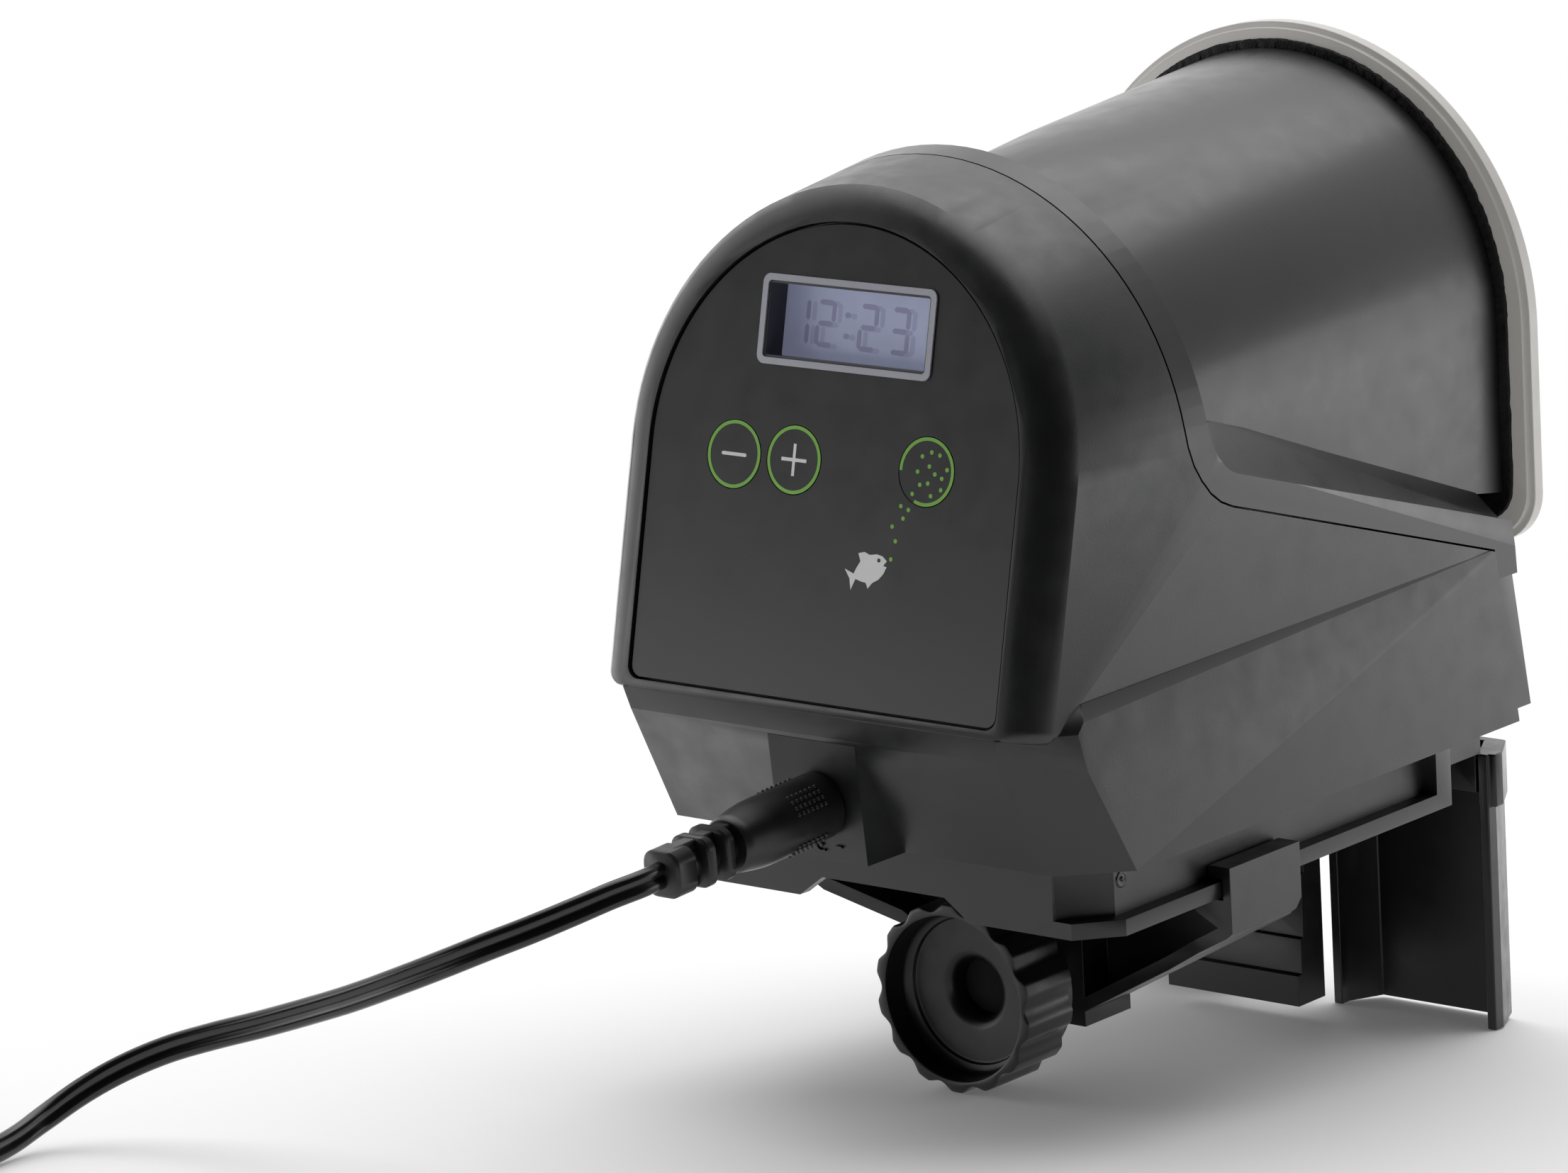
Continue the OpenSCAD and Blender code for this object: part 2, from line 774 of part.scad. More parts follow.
// cross-section of the slide: hooks over both rails, and a shallow vee below them
module slide_section() {
    for (s = [-1, 1]) polygon([
        [s * 37.5, 2.8], [s * 37.5, 4.6], [s * hook_out, 4.6], [s * hook_out, -5.2], [s * (hook_out - 1), -6],
        [s * 4, -vee_low], [0, -vee_low], [0, -vee_low + 2], [s * 3.6, -vee_low + 2],
        [s * (hook_out - 2.6), -4.6], [s * 33, -1.6], [s * 33, -0.3], [s * (hook_out - 1.4), -0.3],
        [s * (hook_out - 1.4), 2.8]
    ]);
}

module clamp_slide() {
    color([0.18, 0.18, 0.19])
    difference() {
        union() {
            front_view(slide_y[0], slide_y[1]) slide_section();
            // web between the arms and the block for the nut
            front_view(40, 42.4) polygon([
                [-31, -1.9], [31, -1.9], [36, -5.6],
                [4, 0.4 - vee_low], [-4, 0.4 - vee_low], [-36, -5.6]
            ]);
            translate([-9, 34, 0.4 - vee_low]) cube([18, slide_y[1] - 34, vee_low - 2.4]);
        }
        // scooped front edge
        translate([0, 0, -60]) linear_extrude(59.5) polygon([
            [-35, slide_y[0] - 5], [-35, slide_y[0]], [-25, 34],
            [25, 34], [35, slide_y[0]], [35, slide_y[0] - 5]
        ]);
        // rounded rear corners of the hooks
        for (s = [-1, 1]) translate([s * hook_out, slide_y[1], -6.2]) rotate([0, 90, 0])
            cylinder(h = 4, r = 2.4, center = true, $fn = 4);
        // bore for the screw and pocket for the nut
        along_y(30, 50, screw_d / 2 + 0.3, 0, -screw_drop);
        translate([0, 0, -screw_drop]) front_view(slide_y[1] - 5, slide_y[1] + 1) circle(r = 5.8, $fn = 6);
    }
}

module clamp_nut() {
    color([0.78, 0.66, 0.35])
    translate([0, 0, -screw_drop]) difference() {
        front_view(slide_y[1] - 4.9, slide_y[1] - 0.2) circle(r = 5.7, $fn = 6);
        along_y(30, 50, screw_d / 2 + fit);
    }
}

module clamp_screw() {
    color([0.75, 0.75, 0.77])
    translate([0, 0, -screw_drop]) {
        along_y(knob_y + knob_hole, plate_y[0] + 3.9, screw_d / 2);
        // collar in front of the plate
        along_y(plate_y[0] - 2.6, plate_y[0] - 0.3, screw_d / 2 + 1.6);
    }
}

module knob_section() {
    hollow_r = 3.7;
    hollow_out = knob_d / 2 + 1.9;
    difference() {
        circle(r = knob_d / 2);
        for (i = [0 : knob_lobes - 1]) rotate(-90 + (i + 0.5) * 360 / knob_lobes)
            translate([hollow_out, 0]) circle(r = hollow_r, $fn = 32);
    }
}

module clamp_knob() {
    color([0.17, 0.17, 0.18])
    translate([0, 0, -screw_drop]) difference() {
        union() {
            front_view(knob_y, knob_y + knob_deep) knob_section();
            along_y(knob_y + knob_deep - eps, knob_y + knob_deep + 1.6, knob_d / 2 - 1.2);
        }
        // dished front, stepped floor and hole
        along_y(knob_y - 1, knob_y + 4.8, knob_d / 2 - 2.2);
        along_y(knob_y - 1, knob_y + 5.4, knob_d / 2 - 3.4);
        along_y(knob_y - 1, knob_y + knob_hole - 1, 4.4);
        along_y(knob_y + knob_hole - fit, knob_y + 30, screw_d / 2 + fit);
    }
}

module pressure_plate() {
    color([0.14, 0.14, 0.15])
    difference() {
        // the front face steps forward towards its foot
        side_view(plate_w) translate([plate_y[0], 0]) polygon([
            [2.4, -3.6], [2.4, -13.8], [1.7, -14], [1.7, -23.8], [1, -24], [1, -29.4],
            [0, -29.6], [0, -34.4], [plate_t, -34.4], [plate_t, -3.6]
        ]);
        along_y(plate_y[0] - 1, plate_y[0] + 4, screw_d / 2 + fit, 0, -screw_drop);
        along_y(plate_y[0] - 1, plate_y[0] + 1.9, screw_d / 2 + 2.4, 0, -screw_drop);
    }
}

// ---- low-voltage lead, in the standing frame ----

// the plug hangs down a little from the socket
plug_droop = 3;
plug_face = boss_y + 0.35;

module on_plug() {
    translate([plug_x, plug_face, plug_z]) rotate([90 + plug_droop, 0, 0]) children();
}

module power_plug() {
    color([0.06, 0.06, 0.06])
    on_plug() {
        cylinder(h = 0.9, r = 5.3);
        translate([0, 0, 0.9]) cylinder(h = plug_len - 5.9, r = 4.9);
        translate([0, 0, plug_len - 5]) cylinder(h = 5, r1 = 4.9, r2 = 3.4);
    }
    color([0.80, 0.80, 0.80])
    on_plug() translate([0, 0, -3.9]) difference() {
        cylinder(h = 4, r = 2.7);
        translate([0, 0, -1]) cylinder(h = 4, r = 1.3);
    }
}

module plug_sleeve() {
    color([0.06, 0.06, 0.06])
    on_plug() translate([0, 0, plug_len]) difference() {
        cylinder(h = sleeve_len, r1 = 3.3, r2 = 2.1);
        for (i = [0 : 2]) translate([0, 0, 3.2 + i * 3.6]) rotate([0, 0, i * 90])
            for (s = [-1, 1]) translate([s * 3.6, 0, 0]) cube([3.4, 8, 1.2], center = true);
    }
}

// route of the lead from the sleeve to its coil, and from the coil to the adapter, on the table
lead_route = [
    [0.6, -95.5, 43.3], [0.3, -99.5, 42.6], [-1.2, -104.2, 41.5], [-3.8, -108.8, 39.7],
    [-8.2, -113.1, 37.2], [-13.5, -116.4, 34.6], [-19.8, -118.6, 31.6], [-27.3, -119.7, 28.3],
    [-35.8, -119.8, 24.8], [-44.8, -119.6, 21.5], [-53.4, -120.1, 18.5], [-61, -121.7, 16],
    [-67.4, -124.4, 13.6], [-72.5, -128.3, 10.8], [-76, -133, 7.8], [-77.7, -139, 4.7],
    [-77.1, -145.5, 2.9], [-76, -152, 2.3], [-75.7, -159, 2.5], [-76.1, -166.7, 2.8]
];
lead_tail = [[-76, -169.5, 6.9], [-76, -176, 6.9], [-76, -182, 6.9], [-76, -188, 6.9]];

// the spare length lies in a coil that a tie holds
coil_at = [-102.7, -169.5];
coil_mid = 21.5;
coil_turns = 10;
coil_z = 0.7;

// adapter at the lead's far end, lying on its back
adapter = [28, 46, 30];
adapter_at = [-76, -197.5];

function unit(v) = v / norm(v);
function heading(path, i) = unit(path[min(i + 1, len(path) - 1)] - path[max(i - 1, 0)]);
function oval_ring(centre, along) =
    let (side = unit(cross(along, [0, 0, 1])), up = cross(side, along))
    [for (k = [0 : 7]) centre + lead_t / 2 * cos(45 * k) * side + lead_w / 2 * sin(45 * k) * up];

// tube that follows a path, with an eight-sided oval section that stands on edge
module lead_tube(path) {
    last = len(path) - 1;
    polyhedron(
        points = [for (i = [0 : last]) each oval_ring(path[i], heading(path, i))],
        faces = [
            [for (k = [0 : 7]) k],
            for (i = [0 : last - 1], k = [0 : 7])
                [i * 8 + k, i * 8 + 8 + k, i * 8 + 8 + (k + 1) % 8, i * 8 + (k + 1) % 8],
            [for (k = [7 : -1 : 0]) last * 8 + k]
        ]
    );
}

module lead_run() {
    color([0.05, 0.05, 0.05])
    lead_tube(lead_route);
}

module lead_tail() {
    color([0.05, 0.05, 0.05])
    lead_tube(lead_tail);
}

module lead_coil() {
    half_ring = coil_turns / 2 * (lead_t + 0.1) / 2 + 0.05;
    color([0.05, 0.05, 0.05])
    translate([coil_at[0], coil_at[1], coil_z])
        rotate_extrude()
            translate([coil_mid - half_ring, 0]) square([2 * half_ring, 2 * lead_w + 0.2]);
}

module lead_tie() {
    reach = coil_turns / 2 * (lead_t + 0.1) / 2 + 0.1;
    color([0.10, 0.10, 0.10])
    translate([coil_at[0], coil_at[1], 0.05]) rotate(150) translate([coil_mid, 0, 0])
    difference() {
        translate([-reach - 0.7, -1.8, 0]) cube([2 * reach + 1.4, 3.6, 2 * lead_w + 2.1]);
        translate([-reach, -3, 0.6]) cube([2 * reach, 6, 2 * lead_w + 0.4]);
    }
}

module wall_adapter() {
    color([0.07, 0.07, 0.07])
    translate([adapter_at[0], adapter_at[1], 0.05]) {
        translate([0, -adapter[1] / 2, 0]) rounded_box([adapter[0], adapter[1], adapter[2]], 3);
        // strain relief at the lead's end
        translate([0, -1, 6.85]) rotate([-90, 0, 0]) difference() {
            cylinder(h = 10.5, r1 = 3.6, r2 = 2.9, $fn = 48);
            translate([0, 0, 10.5]) cube([lead_t + 0.1, lead_w + 0.1, 3], center = true);
        }
    }
}

module adapter_pins() {
    color([0.80, 0.80, 0.80])
    for (s = [-1, 1]) translate([adapter_at[0] + s * 9.3, adapter_at[1] - 32, adapter[2] + 0.05])
        cylinder(h = 18, r = 2, $fn = 48);
}

stand() front_housing();
stand() panel_plate();
stand() display_frame();
stand() display_window();
stand() display_module();
stand() key_minus();
stand() key_plus();
stand() key_feed();
stand() circuit_board();
stand() key_switches();
stand() power_socket();
stand() hopper_shell();
stand() hopper_collar();
stand() hopper_lid();
stand() lid_gasket();
stand() base_plate();
stand() housing_screws();
stand() rear_jaw();
stand() dosing_tube();
stand() dosing_screw();
stand() dosing_gear();
stand() shaft_bushes();
stand() gear_motor();
stand() motor_pinion();
stand() idler_gear();
stand() idler_axle();
stand() motor_bracket();
stand() clamp_slide();
stand() clamp_nut();
stand() clamp_screw();
stand() clamp_knob();
stand() pressure_plate();
stand() power_plug();
stand() plug_sleeve();
lead_run();
lead_coil();
lead_tail();
lead_tie();
wall_adapter();
adapter_pins();
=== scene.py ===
"""Looks of the automatic fish feeder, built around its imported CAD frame. Metres, Z up."""
import json
import math

import bmesh
import bpy
from mathutils import Matrix, Vector, noise


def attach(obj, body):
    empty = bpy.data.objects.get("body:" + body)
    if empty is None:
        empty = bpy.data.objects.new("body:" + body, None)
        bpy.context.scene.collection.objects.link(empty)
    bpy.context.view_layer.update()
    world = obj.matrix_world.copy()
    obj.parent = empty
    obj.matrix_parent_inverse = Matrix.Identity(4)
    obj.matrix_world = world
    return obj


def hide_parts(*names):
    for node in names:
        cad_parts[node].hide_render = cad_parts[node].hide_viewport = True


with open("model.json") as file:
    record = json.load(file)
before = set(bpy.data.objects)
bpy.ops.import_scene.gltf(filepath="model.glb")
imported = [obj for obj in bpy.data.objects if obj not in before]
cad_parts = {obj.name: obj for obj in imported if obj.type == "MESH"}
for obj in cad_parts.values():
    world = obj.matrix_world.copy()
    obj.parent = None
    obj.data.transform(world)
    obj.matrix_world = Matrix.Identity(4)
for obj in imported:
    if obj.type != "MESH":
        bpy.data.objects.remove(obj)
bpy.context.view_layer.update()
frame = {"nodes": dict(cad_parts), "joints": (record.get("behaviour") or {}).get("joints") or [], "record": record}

MM = 0.001
TAU = 2 * math.pi

# ---- places taken from the frame ----

JOINTS = {j["name"]: j for j in frame["joints"]}
REAR = Vector(JOINTS["dosing_turn"]["axis"])
SCREW_AXIS_UP = 26 * MM
TILT = Matrix.Rotation(math.atan2(REAR.z, REAR.y), 4, "X")
ORIGIN = Vector(JOINTS["dosing_turn"]["pos_m"]) - TILT @ Vector((0, 0, SCREW_AXIS_UP))
# upright body space to the row frame: X right, Y to the rear, Z up, from the base's front lower edge
BODY = Matrix.Translation(ORIGIN) @ TILT
# panel space: X across, Y up the panel from its lower edge, Z out of it
PANEL_LEAN = math.radians(13.3)
PANEL = (
    BODY
    @ Matrix.Translation((0, -14.4 * MM, 34 * MM))
    @ Matrix.Rotation(math.pi / 2 - PANEL_LEAN, 4, "X")
)
PANEL_TOP = -0.4 * MM
LCD_AT = (0.5 * MM, 53.4 * MM)
KEYS = {
    "key_minus": (-18 * MM, 33.6 * MM),
    "key_plus": (-6.9 * MM, 33.8 * MM),
    "key_feed": (17.2 * MM, 34.4 * MM),
}
# clamp space: Z along the clamp screw to the rear, from the body's front lower edge
SCREW_DROP = 17.3 * MM
CLAMP = BODY @ Matrix.Translation((0, 0, -SCREW_DROP)) @ Matrix.Rotation(-math.pi / 2, 4, "X")


# ---- camera, floor and light ----

def add_camera():
    camera = bpy.data.objects.new("camera", bpy.data.cameras.new("camera"))
    bpy.context.scene.collection.objects.link(camera)
    right = Vector((0.766717, 0.641983, -0.001473))
    up = Vector((-0.105578, 0.128355, 0.986092))
    back = Vector((0.63324, -0.75590, 0.16619))
    turn = Matrix((right, up, back)).transposed().to_4x4()
    camera.matrix_world = Matrix.Translation((0.67658, -0.87592, 0.25780)) @ turn
    camera.data.lens = 174.52
    camera.data.sensor_width = 36
    camera.data.clip_start = 0.05
    camera.data.clip_end = 20
    bpy.context.scene.camera = camera


def area_light(name, place, target, size, power):
    data = bpy.data.lights.new(name, "AREA")
    data.shape = "RECTANGLE"
    data.size, data.size_y = size
    data.energy = power
    light = bpy.data.objects.new(name, data)
    bpy.context.scene.collection.objects.link(light)
    light.location = place
    light.rotation_euler = (Vector(target) - Vector(place)).to_track_quat("-Z", "Y").to_euler()


# towards the camera's side of the studio, which stays dark
FRONT_SIDE = Vector((0.66, -0.74, 0.1)).normalized()


def ramp(tree, value, start, end, low, high, smooth=True):
    """Map a value from start..end to low..high."""
    node = tree.nodes.new("ShaderNodeMapRange")
    if smooth:
        node.interpolation_type = "SMOOTHSTEP"
    for name, number in (("From Min", start), ("From Max", end), ("To Min", low), ("To Max", high)):
        node.inputs[name].default_value = number
    tree.links.new(value, node.inputs["Value"])
    return node.outputs["Result"]


def vector_math(tree, operation, vector, other=None):
    """Vector node on one socket, and on a fixed second vector if there is one."""
    node = tree.nodes.new("ShaderNodeVectorMath")
    node.operation = operation
    tree.links.new(vector, node.inputs[0])
    if other is not None:
        node.inputs[1].default_value = other
    return node


def add_lights():
    middle = (0, 0, 0.08)
    area_light("overhead", (-0.1, 0.15, 1.0), middle, (1.2, 1.0), 7)
    area_light("low_left", (-0.24, -0.35, 0.045), (0, -0.06, 0.06), (0.34, 0.085), 0.15)
    area_light("rear_right", (0.42, 0.40, 0.10), (0.04, 0.0, 0.05), (0.5, 0.2), 0.5)


def add_world():
    """Light all round, and darker where the camera stands."""
    world = bpy.data.worlds.new("studio")
    bpy.context.scene.world = world
    world.use_nodes = True
    tree = world.node_tree
    tree.nodes.clear()
    add, link = tree.nodes.new, tree.links.new
    coords = add("ShaderNodeTexCoord")
    dot = vector_math(tree, "DOT_PRODUCT", coords.outputs["Generated"], FRONT_SIDE)
    around, seen = add("ShaderNodeBackground"), add("ShaderNodeBackground")
    seen.inputs["Color"].default_value = (1, 1, 1, 1)
    path, mix, out = add("ShaderNodeLightPath"), add("ShaderNodeMixShader"), add("ShaderNodeOutputWorld")
    link(ramp(tree, dot.outputs["Value"], -0.3, 0.35, 1.7, 0.02), around.inputs["Strength"])
    link(path.outputs["Is Camera Ray"], mix.inputs["Fac"])
    link(around.outputs[0], mix.inputs[1])
    link(seen.outputs[0], mix.inputs[2])
    link(mix.outputs[0], out.inputs["Surface"])


def floor_material():
    """Diffuse near the object, and further out a glow: white as seen, darker in front as mirrored."""
    material = bpy.data.materials.new("floor")
    material.use_nodes = True
    tree = material.node_tree
    tree.nodes.clear()
    add, link = tree.nodes.new, tree.links.new
    place, path = add("ShaderNodeNewGeometry"), add("ShaderNodeLightPath")
    seen = path.outputs["Is Camera Ray"]
    distance = vector_math(tree, "LENGTH", place.outputs["Position"]).outputs["Value"]
    outwards = vector_math(tree, "NORMALIZE", place.outputs["Position"]).outputs["Vector"]
    frontness = vector_math(tree, "DOT_PRODUCT", outwards, FRONT_SIDE).outputs["Value"]

    near, glow, around = add("ShaderNodeBsdfDiffuse"), add("ShaderNodeEmission"), add("ShaderNodeAddShader")
    near.inputs["Color"].default_value = (0.82, 0.82, 0.82, 1)
    # the floor lights the undersides a little more than it shows
    link(ramp(tree, seen, 0, 1, 0.27, 0.08), glow.inputs["Strength"])
    link(near.outputs[0], around.inputs[0])
    link(glow.outputs[0], around.inputs[1])

    plain, mirrored, far = add("ShaderNodeEmission"), add("ShaderNodeEmission"), add("ShaderNodeMixShader")
    link(ramp(tree, frontness, -0.35, 0.75, 2.0, 0.03), mirrored.inputs["Strength"])
    link(seen, far.inputs["Fac"])
    link(mirrored.outputs[0], far.inputs[1])
    link(plain.outputs[0], far.inputs[2])

    mix, out = add("ShaderNodeMixShader"), add("ShaderNodeOutputMaterial")
    link(ramp(tree, distance, 0.12, 0.36, 0, 1), mix.inputs["Fac"])
    link(around.outputs[0], mix.inputs[1])
    link(far.outputs[0], mix.inputs[2])
    link(mix.outputs[0], out.inputs["Surface"])
    return material


def add_floor():
    """Pale floor that goes over into plain white away from the object."""
    mesh = bpy.data.meshes.new("floor")
    side = 6.0
    corners = [(-side, -side, 0), (side, -side, 0), (side, side, 0), (-side, side, 0)]
    mesh.from_pydata(corners, [], [(0, 1, 2, 3)])
    mesh.materials.append(floor_material())
    floor = bpy.data.objects.new("floor", mesh)
    bpy.context.scene.collection.objects.link(floor)


# ---- materials ----

def finish(
    name, colour, rough, grain=0.25 * MM, depth=0.02 * MM, strength=0.25,
    rough_spread=0.06, tone=0.12, patch=12 * MM, metallic=0.0, wear=0.0,
):
    """Surface with fine grain, patches of tone and uneven gloss; wear lightens its edges."""
    material = bpy.data.materials.new(name)
    material.use_nodes = True
    tree = material.node_tree
    shader = tree.nodes["Principled BSDF"]
    shader.inputs["Metallic"].default_value = metallic
    add, link = tree.nodes.new, tree.links.new
    coords = add("ShaderNodeTexCoord")

    def texture(size, detail):
        node = add("ShaderNodeTexNoise")
        node.inputs["Scale"].default_value = 1 / size
        node.inputs["Detail"].default_value = detail
        link(coords.outputs["Object"], node.inputs["Vector"])
        return node.outputs["Fac"]

    def mapped(value, low, high):
        return ramp(tree, value, 0.3, 0.7, low, high, smooth=False)

    blend = add("ShaderNodeMix")
    blend.data_type = "RGBA"
    blend.inputs["A"].default_value = [c * (1 - tone) for c in colour] + [1]
    blend.inputs["B"].default_value = [min(1, c * (1 + tone)) for c in colour] + [1]
    link(mapped(texture(patch, 4), 0, 1), blend.inputs["Factor"])
    base = blend.outputs["Result"]
    if wear:
        edges, lighten = add("ShaderNodeNewGeometry"), add("ShaderNodeMix")
        lighten.data_type = "RGBA"
        lighten.inputs["B"].default_value = [min(1, c * 2.2 + 0.02) for c in colour] + [1]
        worn = ramp(tree, edges.outputs["Pointiness"], 0.52, 0.62, 0, wear, smooth=False)
        link(worn, lighten.inputs["Factor"])
        link(base, lighten.inputs["A"])
        base = lighten.outputs["Result"]
    link(base, shader.inputs["Base Color"])
    gloss = mapped(texture(patch * 0.4, 5), rough - rough_spread, rough + rough_spread)
    link(gloss, shader.inputs["Roughness"])
    bump = add("ShaderNodeBump")
    bump.inputs["Strength"].default_value = strength
    bump.inputs["Distance"].default_value = depth
    link(texture(grain, 3), bump.inputs["Height"])
    link(bump.outputs["Normal"], shader.inputs["Normal"])
    return material


def with_painted_glow(material, colour, strength):
    """The finish again, with a painted glow: a little light of its own that stands in for light the part doesn't
    give.
    """
    shader = material.node_tree.nodes["Principled BSDF"].inputs
    shader["Emission Color"].default_value = colour + (1,)
    shader["Emission Strength"].default_value = strength
    return material


def glass_finish():
    """Clear window that hardly bends the light."""
    material = finish(
        "window", (0.92, 0.94, 0.97), 0.05,
        grain=2 * MM, depth=0.002 * MM, rough_spread=0.02, tone=0.02,
    )
    shader = material.node_tree.nodes["Principled BSDF"]
    shader.inputs["Transmission Weight"].default_value = 1.0
    shader.inputs["IOR"].default_value = 1.1
    return material


# painted glow: the display gets a little light of its own that stands in for its brightness, and the milky lid
# gets one that stands in for the light that passes through it
DISPLAY_PAINTED_GLOW = (0.50, 0.52, 0.74)
LID_PAINTED_GLOW = (1, 0.965, 0.91)

MATERIALS = {
    "housing": finish(
        "housing", (0.014, 0.0145, 0.015), 0.36,
        grain=0.35 * MM, depth=0.03 * MM, strength=0.35, tone=0.05,
    ),
    "panel": finish(
        "panel", (0.010, 0.010, 0.011), 0.30,
        grain=0.5 * MM, depth=0.006 * MM, strength=0.1, tone=0.05, rough_spread=0.03,
    ),
    "bezel": finish("bezel", (0.44, 0.44, 0.50), 0.35, grain=0.3 * MM, depth=0.01 * MM, tone=0.04),
    "window": glass_finish(),
    # painted glow on the display, standing in for its brightness
    "display": with_painted_glow(finish(
        "display", (0.66, 0.70, 0.88), 0.35,
        grain=0.2 * MM, depth=0.004 * MM, tone=0.06, patch=6 * MM,
    ), DISPLAY_PAINTED_GLOW, 0.22),
    "board": finish("board", (0.04, 0.16, 0.08), 0.4, tone=0.2, patch=3 * MM),
    "black_plastic": finish("black_plastic", (0.007, 0.007, 0.0075), 0.38, depth=0.02 * MM),
    "hopper": finish(
        "hopper", (0.013, 0.0135, 0.0145), 0.30,
        grain=0.5 * MM, depth=0.012 * MM, strength=0.2, tone=0.05, rough_spread=0.04,
    ),
    # painted glow: a flat light of the lid's own stands in for the light that passes through the milky plastic
    "lid": with_painted_glow(finish(
        "lid", (0.36, 0.348, 0.33), 0.40, grain=0.4 * MM, depth=0.01 * MM, tone=0.04,
    ), LID_PAINTED_GLOW, 0.14),
    "gasket": finish(
        "gasket", (0.010, 0.010, 0.010), 0.85,
        grain=0.35 * MM, depth=0.25 * MM, strength=0.9, tone=0.4, patch=0.6 * MM,
    ),
    "steel": finish(
        "steel", (0.55, 0.55, 0.56), 0.3, metallic=1.0, grain=0.2 * MM, depth=0.01 * MM, wear=0.3,
    ),
    "clamp": finish(
        "clamp", (0.004, 0.0041, 0.0043), 0.36,
        grain=0.6 * MM, depth=0.02 * MM, strength=0.3, tone=0.15, patch=8 * MM,
    ),
    "inner_plastic": finish("inner_plastic", (0.72, 0.72, 0.70), 0.4, tone=0.05),
    "brass": finish("brass", (0.60, 0.46, 0.20), 0.3, metallic=1.0, tone=0.1),
    "lead": finish(
        "lead", (0.006, 0.006, 0.007), 0.22,
        grain=1.5 * MM, depth=0.02 * MM, tone=0.2, rough_spread=0.05,
    ),
    "pins": finish("pins", (0.70, 0.70, 0.71), 0.15, metallic=1.0, tone=0.05),
}


def thin_finish(name, colour, rough=0.4, grain=0.2 * MM, depth=0.003 * MM, tone=0.05):
    """Finish of print and other small flat pieces."""
    return finish(name, colour, rough, grain=grain, depth=depth, tone=tone)


INK_GREEN = thin_finish("ink_green", (0.20, 0.49, 0.055), 0.45, depth=0.004 * MM, tone=0.06)
INK_WHITE = thin_finish("ink_white", (0.80, 0.81, 0.80), 0.45, depth=0.004 * MM, tone=0.03)
SHADE = thin_finish("shade", (0.0006, 0.0006, 0.0006), 0.95, 0.3 * MM, 0.01 * MM, 0.1)
# painted shade: the display recess walls are coloured dark for the shade that falls in the recess
RECESS_PAINTED_SHADE = thin_finish("recess", (0.055, 0.055, 0.065), 0.4, 0.3 * MM, 0.01 * MM, 0.08)
# the figures and their painted shadow carry the display's painted glow too
SEGMENT = with_painted_glow(thin_finish("segment", (0.47, 0.44, 0.68)), DISPLAY_PAINTED_GLOW, 0.13)
SEGMENT_SHADE = with_painted_glow(thin_finish("segment_shade", (0.55, 0.56, 0.78)), DISPLAY_PAINTED_GLOW, 0.18)


# ---- pieces ----

def piece(name, mesh, body, slot, nodes=(), material=None, smooth=40):
    """A new object from a mesh in the row frame, riding on a body and standing for CAD nodes."""
    thing = bpy.data.objects.new(name, mesh)
    bpy.context.scene.collection.objects.link(thing)
    mesh.materials.clear()
    mesh.materials.append(material or MATERIALS[slot])
    mesh.shade_smooth()
    mesh.set_sharp_from_angle(angle=math.radians(smooth))
    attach(thing, body)
    if nodes:
        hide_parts(*nodes)
    return thing


def mesh_from(points, faces, matrix=None):
    mesh = bpy.data.meshes.new("part")
    mesh.from_pydata([tuple(p) for p in points], [], faces)
    if matrix is not None:
        mesh.transform(matrix)
    mesh.validate()
    return mesh


FLAT_ANGLE = math.radians(1)
SHARP_ANGLE = math.radians(32)


def clean_copy(node):
    """Copy of a CAD node's mesh with its flat faces joined up again."""
    work = bmesh.new()
    work.from_mesh(frame["nodes"][node].data)
    bmesh.ops.remove_doubles(work, verts=work.verts, dist=1e-6)
    bmesh.ops.dissolve_limit(work, angle_limit=FLAT_ANGLE, verts=work.verts, edges=work.edges)
    mesh = bpy.data.meshes.new(node)
    work.to_mesh(mesh)
    work.free()
    return mesh


def moulded(node, body, slot, edge=0.3 * MM, steps=2):
    """The node again with its sharp edges rounded, as a moulding's are."""
    thing = piece(node + "_moulded", clean_copy(node), body, slot, [node])
    rounding = thing.modifiers.new("edges", "BEVEL")
    rounding.width = edge
    rounding.segments = steps
    rounding.limit_method = "ANGLE"
    rounding.angle_limit = SHARP_ANGLE
    rounding.use_clamp_overlap = True
    rounding.harden_normals = True


# ---- shapes from rings of points ----

def bands(rows, count):
    """Quads between rings of that many points, one ring to a row."""
    faces = []
    for row in range(rows - 1):
        near, far = row * count, (row + 1) * count
        for k in range(count):
            n = (k + 1) % count
            faces.append((near + k, near + n, far + n, far + k))
    return faces


def ends(rows, count):
    """The two faces that close the first and the last ring."""
    return [tuple(range(count - 1, -1, -1)), tuple((rows - 1) * count + k for k in range(count))]


def turned(radius, angle, height):
    """Point at an angle round Z."""
    return Vector((radius * math.cos(angle), radius * math.sin(angle), height))


def revolved(profile, steps=64):
    """Points and faces of a closed turned shape about Z; profile is (radius, height) from end to end."""
    points = [turned(r, TAU * k / steps, z) for r, z in profile for k in range(steps)]
    return points, bands(len(profile), steps) + ends(len(profile), steps)


def rounded_loop(w, h, r, steps=6):
    """Points of a rounded rectangle about the origin."""
    loop = []
    for quarter, (sx, sy) in enumerate(((1, 1), (-1, 1), (-1, -1), (1, -1))):
        for k in range(steps + 1):
            a = (quarter + k / steps) * TAU / 4
            loop.append((sx * (w / 2 - r) + r * math.cos(a), sy * (h / 2 - r) + r * math.sin(a)))
    return loop


def slab(width, height, corner, start, end, edge=0.25 * MM):
    """Rounded block along Z, with softened edges at both ends."""
    full = rounded_loop(width, height, corner)
    small = rounded_loop(width - 2 * edge, height - 2 * edge, corner)
    levels = [(small, start), (full, start + edge), (full, end - edge), (small, end)]
    points = [Vector((x, y, z)) for loop, z in levels for x, y in loop]
    return points, bands(len(levels), len(full)) + ends(len(levels), len(full))


